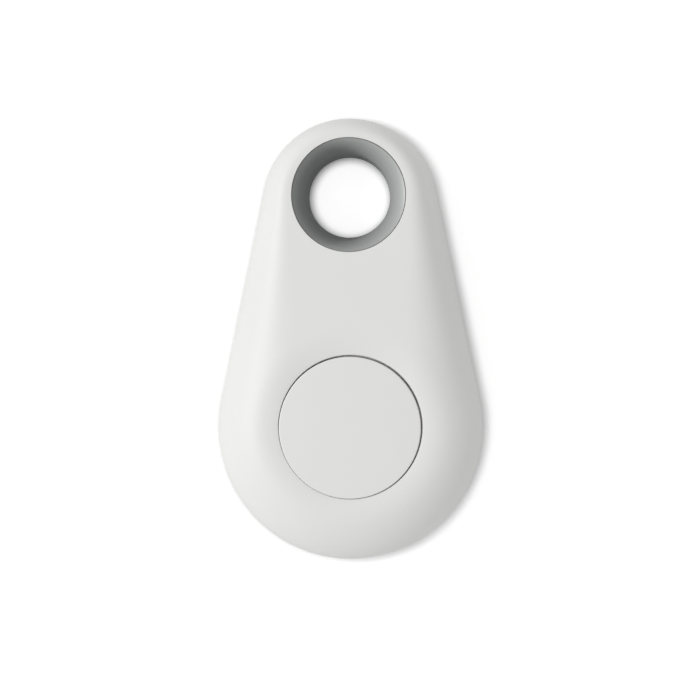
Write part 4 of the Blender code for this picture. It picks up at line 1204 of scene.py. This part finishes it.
def snap_dome(material):
    """Thin dome under the plunger: its height falls with the square of the radius."""
    foot, top = levels_of("switch_dome")
    rise = top - foot - DOME_SHEET
    part = np.linspace(0, 1, DOME_POINTS)
    under = np.column_stack([radius_of("switch_dome") * part, foot + rise * (1 - part ** 2)])
    profile = np.concatenate([under + (0.0, DOME_SHEET), under[::-1]])
    dome = spin("dome_spring", "switch_dome", profile, axis_of("switch_dome"), SWITCH_STEPS, material,
                "front_half")
    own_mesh(dome)


# ---------------------------------------------------------------- stage


def make_floor(stage, case, eyelet):
    """A large flat floor whose glow only the camera sees: even where open, fading out near the tag's outline
    as a painted shadow, and brighter under the hole as a painted light that fades towards the hole's edges.

    The glow at a point is a smooth step of its distance from the outline, or from the middle of the hole.
    """
    sheet = Sheet("pale_floor")
    base = sheet.shades(sheet.noise(30.0, 2.0), stage.floor_colour, 0.995, 1.005)
    sheet.set(base_color=base, roughness=0.9, specular_ior_level=0.0)
    glow = sheet.node("ShaderNodeAttribute", {"attribute_name": "glow"}, output="Color")
    lit = sheet.node("ShaderNodeEmission", inputs={"Color": glow}, output="Emission")
    seen = sheet.node("ShaderNodeLightPath", output="Is Camera Ray")
    lit = sheet.node("ShaderNodeMixShader", inputs={0: seen, 2: lit}, output="Shader")
    both = sheet.node("ShaderNodeAddShader", inputs={0: Wire(sheet, sheet.shader.outputs["BSDF"]), 1: lit})
    sheet.feed(sheet.tree.nodes["Material Output"].inputs["Surface"], both)
    near = np.linspace(-1, 1, FLOOR_POINTS)
    x, y = (np.concatenate([-FLOOR_FAR[::-1], near * reach, FLOOR_FAR]) for reach in FLOOR_NEAR)
    x, y = np.meshgrid(x, y, indexing="ij")
    away = outside(x, y, LOWER_RADIUS, case.upper_radius, CASE_HIGH[1] - case.upper_radius)
    middle = np.hypot(x - PAINTED_LIGHT_SHIFT[0], y - EYELET_AXIS[1] - PAINTED_LIGHT_SHIFT[1])
    # Painted shadow: the glow fades out towards the tag's outline. Painted light: under the hole it glows
    # brighter, fading at the hole's edges as painted shade.
    painted_shadow_fade = smooth_step(away / stage.shadow_width)
    painted_light_share = 1 - smooth_step((middle - eyelet.throat) / stage.shadow_width + PAINTED_LIGHT_START)
    strength = stage.painted_shadow_glow + (stage.floor_glow - stage.painted_shadow_glow) * painted_shadow_fade
    strength = np.maximum(strength, stage.painted_shadow_glow + (stage.painted_hole_light - stage.painted_shadow_glow) * painted_light_share)
    points, faces = grid(np.stack([x, y, np.full(x.shape, FLOOR_Z)], axis=-1), closed=False)
    mesh = bpy.data.meshes.new("floor")
    mesh.from_pydata(points.tolist(), [], faces.tolist())
    mesh.attributes.new("glow", "FLOAT", "POINT").data.foreach_set("value", strength.ravel())
    mesh.materials.append(sheet.material)
    floor = bpy.data.objects.new("floor", mesh)
    bpy.context.scene.collection.objects.link(floor)


def smooth_step(t):
    """0 up to t = 0, 1 from t = 1, and 3 t squared less 2 t cubed between them."""
    t = np.clip(t, 0, 1)
    return t * t * (3 - 2 * t)


def make_light(name, place, target, size, power):
    """Square area light at place, turned to face target."""
    lamp = bpy.data.lights.new(name, "AREA")
    lamp.shape = "SQUARE"
    lamp.size = size
    lamp.energy = power
    thing = bpy.data.objects.new(name, lamp)
    thing.location = place
    thing.rotation_euler = (Vector(target) - Vector(place)).to_track_quat("-Z", "Y").to_euler()
    bpy.context.scene.collection.objects.link(thing)
    return thing


def make_camera(stage):
    """Camera over the tag, turned to face the target; its lens gives the view's width there."""
    lens = bpy.data.cameras.new("camera")
    target = Vector(stage.target)
    camera = bpy.data.objects.new("camera", lens)
    camera.location = (stage.camera_x, target.y, stage.camera_height)
    way = target - camera.location
    camera.rotation_euler = (0.0, math.atan2(-way.x, -way.z), -math.radians(stage.roll))
    lens.lens = lens.sensor_width * way.length / stage.view_width
    lens.clip_start = 0.01
    bpy.context.scene.collection.objects.link(camera)
    bpy.context.scene.camera = camera


def make_world(stage):
    """Light from all round that is stronger towards the key light, on a backdrop that looks white."""
    world = bpy.data.worlds.new("studio")
    world.use_nodes = True
    sheet = Sheet.of_tree(world.node_tree)
    way = Vector(stage.key_place).normalized()
    seen = sheet.node("ShaderNodeTexCoord", output="Generated")
    facing = sheet.node("ShaderNodeVectorMath", {"operation": "DOT_PRODUCT"}, {0: seen, 1: way},
                        output="Value")
    background = world.node_tree.nodes["Background"]
    sheet.feed(background.inputs["Color"], (1.0, 1.0, 1.0, 1.0))
    looked_at = sheet.node("ShaderNodeLightPath", output="Is Camera Ray")
    sky = (facing * stage.sky_side + 1.0) * stage.sky
    sheet.feed(background.inputs["Strength"], sky * (1.0 - looked_at) + looked_at)
    bpy.context.scene.world = world
    bpy.context.scene.view_settings.view_transform = "Standard"


# ---------------------------------------------------------------- operators


class TAG_OT_stage(bpy.types.Operator):
    """Make the floor, the even light, the soft key light and the camera."""

    bl_idname = "tracker_tag.stage"
    bl_label = "Stage"

    def execute(self, context):
        stage = context.scene.tracker_stage
        make_world(stage)
        make_floor(stage, context.scene.tracker_case, context.scene.tracker_eyelet)
        make_light("key", stage.key_place, (0.0, 0.0, 0.0), stage.key_size, stage.key_power)
        make_camera(stage)
        return {"FINISHED"}


class TAG_OT_covers(bpy.types.Operator):
    """Make the front and rear covers."""

    bl_idname = "tracker_tag.covers"
    bl_label = "Covers"

    def execute(self, context):
        scene = context.scene
        case = scene.tracker_case
        material = moulded_plastic("white_moulding", case.colour, case.roughness)
        front_cover(case, scene.tracker_button, scene.tracker_eyelet, material)
        rear_cover(case, scene.tracker_eyelet, material)
        return {"FINISHED"}


class TAG_OT_eyelets(bpy.types.Operator):
    """Make the two halves of the grey eyelet, and the soft light that only they get."""

    bl_idname = "tracker_tag.eyelets"
    bl_label = "Eyelets"

    def execute(self, context):
        scene = context.scene
        case, eyelet, stage = scene.tracker_case, scene.tracker_eyelet, scene.tracker_stage
        material = eyelet_plastic(eyelet)
        lamp = make_light("hole_light", stage.hole_place, (*EYELET_AXIS, THICKNESS), stage.hole_size,
                          stage.hole_power)
        lit = bpy.data.collections.new("lit_rings")
        lamp.light_linking.receiver_collection = lit
        for side, mouth in (("front", eyelet.mouth), ("rear", eyelet.rear_mouth)):
            lit.objects.link(eyelet_half(side, case, eyelet, mouth, material))
        return {"FINISHED"}


class TAG_OT_button(bpy.types.Operator):
    """Make the push button."""

    bl_idname = "tracker_tag.button"
    bl_label = "Button"

    def execute(self, context):
        scene = context.scene
        case = scene.tracker_case
        material = moulded_plastic("button_moulding", case.colour, case.roughness)
        button_disc(case, scene.tracker_button, material)
        return {"FINISHED"}


class TAG_OT_cell(bpy.types.Operator):
    """Make the coin cell's can, seal and cap."""

    bl_idname = "tracker_tag.cell"
    bl_label = "Coin cell"

    def execute(self, context):
        cell_pieces(inner_materials(context))
        return {"FINISHED"}


class TAG_OT_hardware(bpy.types.Operator):
    """Make the screws, the leaf contact, the coil, and the switch's plunger and dome."""

    bl_idname = "tracker_tag.hardware"
    bl_label = "Hardware"

    def execute(self, context):
        finish = inner_materials(context)
        for number in SCREW_NUMBERS:
            threaded_screw(number, finish["screw_steel"])
        leaf(finish["spring_steel"])
        winding(finish["coil_copper"])
        plunger(finish["black_plastic"])
        snap_dome(finish["spring_steel"])
        return {"FINISHED"}


class TAG_OT_electronics(bpy.types.Operator):
    """Make the radio chip, its crystal and the small parts on the board."""

    bl_idname = "tracker_tag.electronics"
    bl_label = "Electronics"

    def execute(self, context):
        finish = inner_materials(context)
        plain_block("radio_chip", "bluetooth_chip", finish["chip"], BLOCK_EDGE)
        chip_pads(finish["gold_plate"])
        plain_block("crystal_body", "crystal_base", finish["ceramic_tan"], CRYSTAL_EDGE)
        plain_block("crystal_cover", "crystal_lid", finish["spring_steel"], BLOCK_EDGE)
        for kind, (slot, colour, roughness) in SMALL_PARTS.items():
            material = end_capped(f"{kind}_finish", colour, roughness, f"{kind}_1")
            for node in sorted(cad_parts):
                if node.startswith(kind):
                    small_part(f"chip_{node}", node, material)
        return {"FINISHED"}


class TAG_OT_finishes(bpy.types.Operator):
    """Give every frame node that is still shown its own procedural material."""

    bl_idname = "tracker_tag.finishes"
    bl_label = "Inner finishes"

    def execute(self, context):
        finish = inner_materials(context)
        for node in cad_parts.values():
            slot = node.data.materials[0].name.split(".")[0]
            if slot not in finish:
                raise ValueError(f"no finish is made for the slot {slot}")
            node.data.materials[0] = finish[slot]
        return {"FINISHED"}


SMALL_PARTS = {
    "capacitor": ("ceramic_tan", (0.42, 0.29, 0.17), 0.42),
    "resistor": ("ceramic_black", (0.030, 0.029, 0.028), 0.40),
    "inductor": ("ferrite", (0.10, 0.10, 0.105), 0.50),
}
MADE = {}


def inner_materials(context):
    """The inner pieces' materials, made once."""
    if not MADE:
        MADE.update(inner_finishes(context.scene.tracker_case))
    return MADE


class TAG_PT_panel(bpy.types.Panel):
    """The steps, in order, in the 3D view's sidebar."""

    bl_idname = "TAG_PT_panel"
    bl_label = "Tracker tag"
    bl_space_type = "VIEW_3D"
    bl_region_type = "UI"
    bl_category = "Tracker tag"

    def draw(self, context):
        for step in STEPS:
            self.layout.operator(step.bl_idname)


SETTINGS = {"tracker_case": CaseSettings, "tracker_eyelet": EyeletSettings, "tracker_button": ButtonSettings,
            "tracker_stage": StageSettings}
STEPS = (TAG_OT_stage, TAG_OT_covers, TAG_OT_eyelets, TAG_OT_button, TAG_OT_cell, TAG_OT_hardware,
         TAG_OT_electronics, TAG_OT_finishes)


def register():
    for cls in (*SETTINGS.values(), *STEPS, TAG_PT_panel):
        bpy.utils.register_class(cls)
    for name, cls in SETTINGS.items():
        setattr(bpy.types.Scene, name, PointerProperty(type=cls))


def unregister():
    for name in SETTINGS:
        delattr(bpy.types.Scene, name)
    for cls in (TAG_PT_panel, *STEPS, *SETTINGS.values()):
        bpy.utils.unregister_class(cls)


def main():
    register()
    for step in STEPS:
        space, name = step.bl_idname.split(".")
        getattr(getattr(bpy.ops, space), name)()


if __name__ == "__main__":
    main()
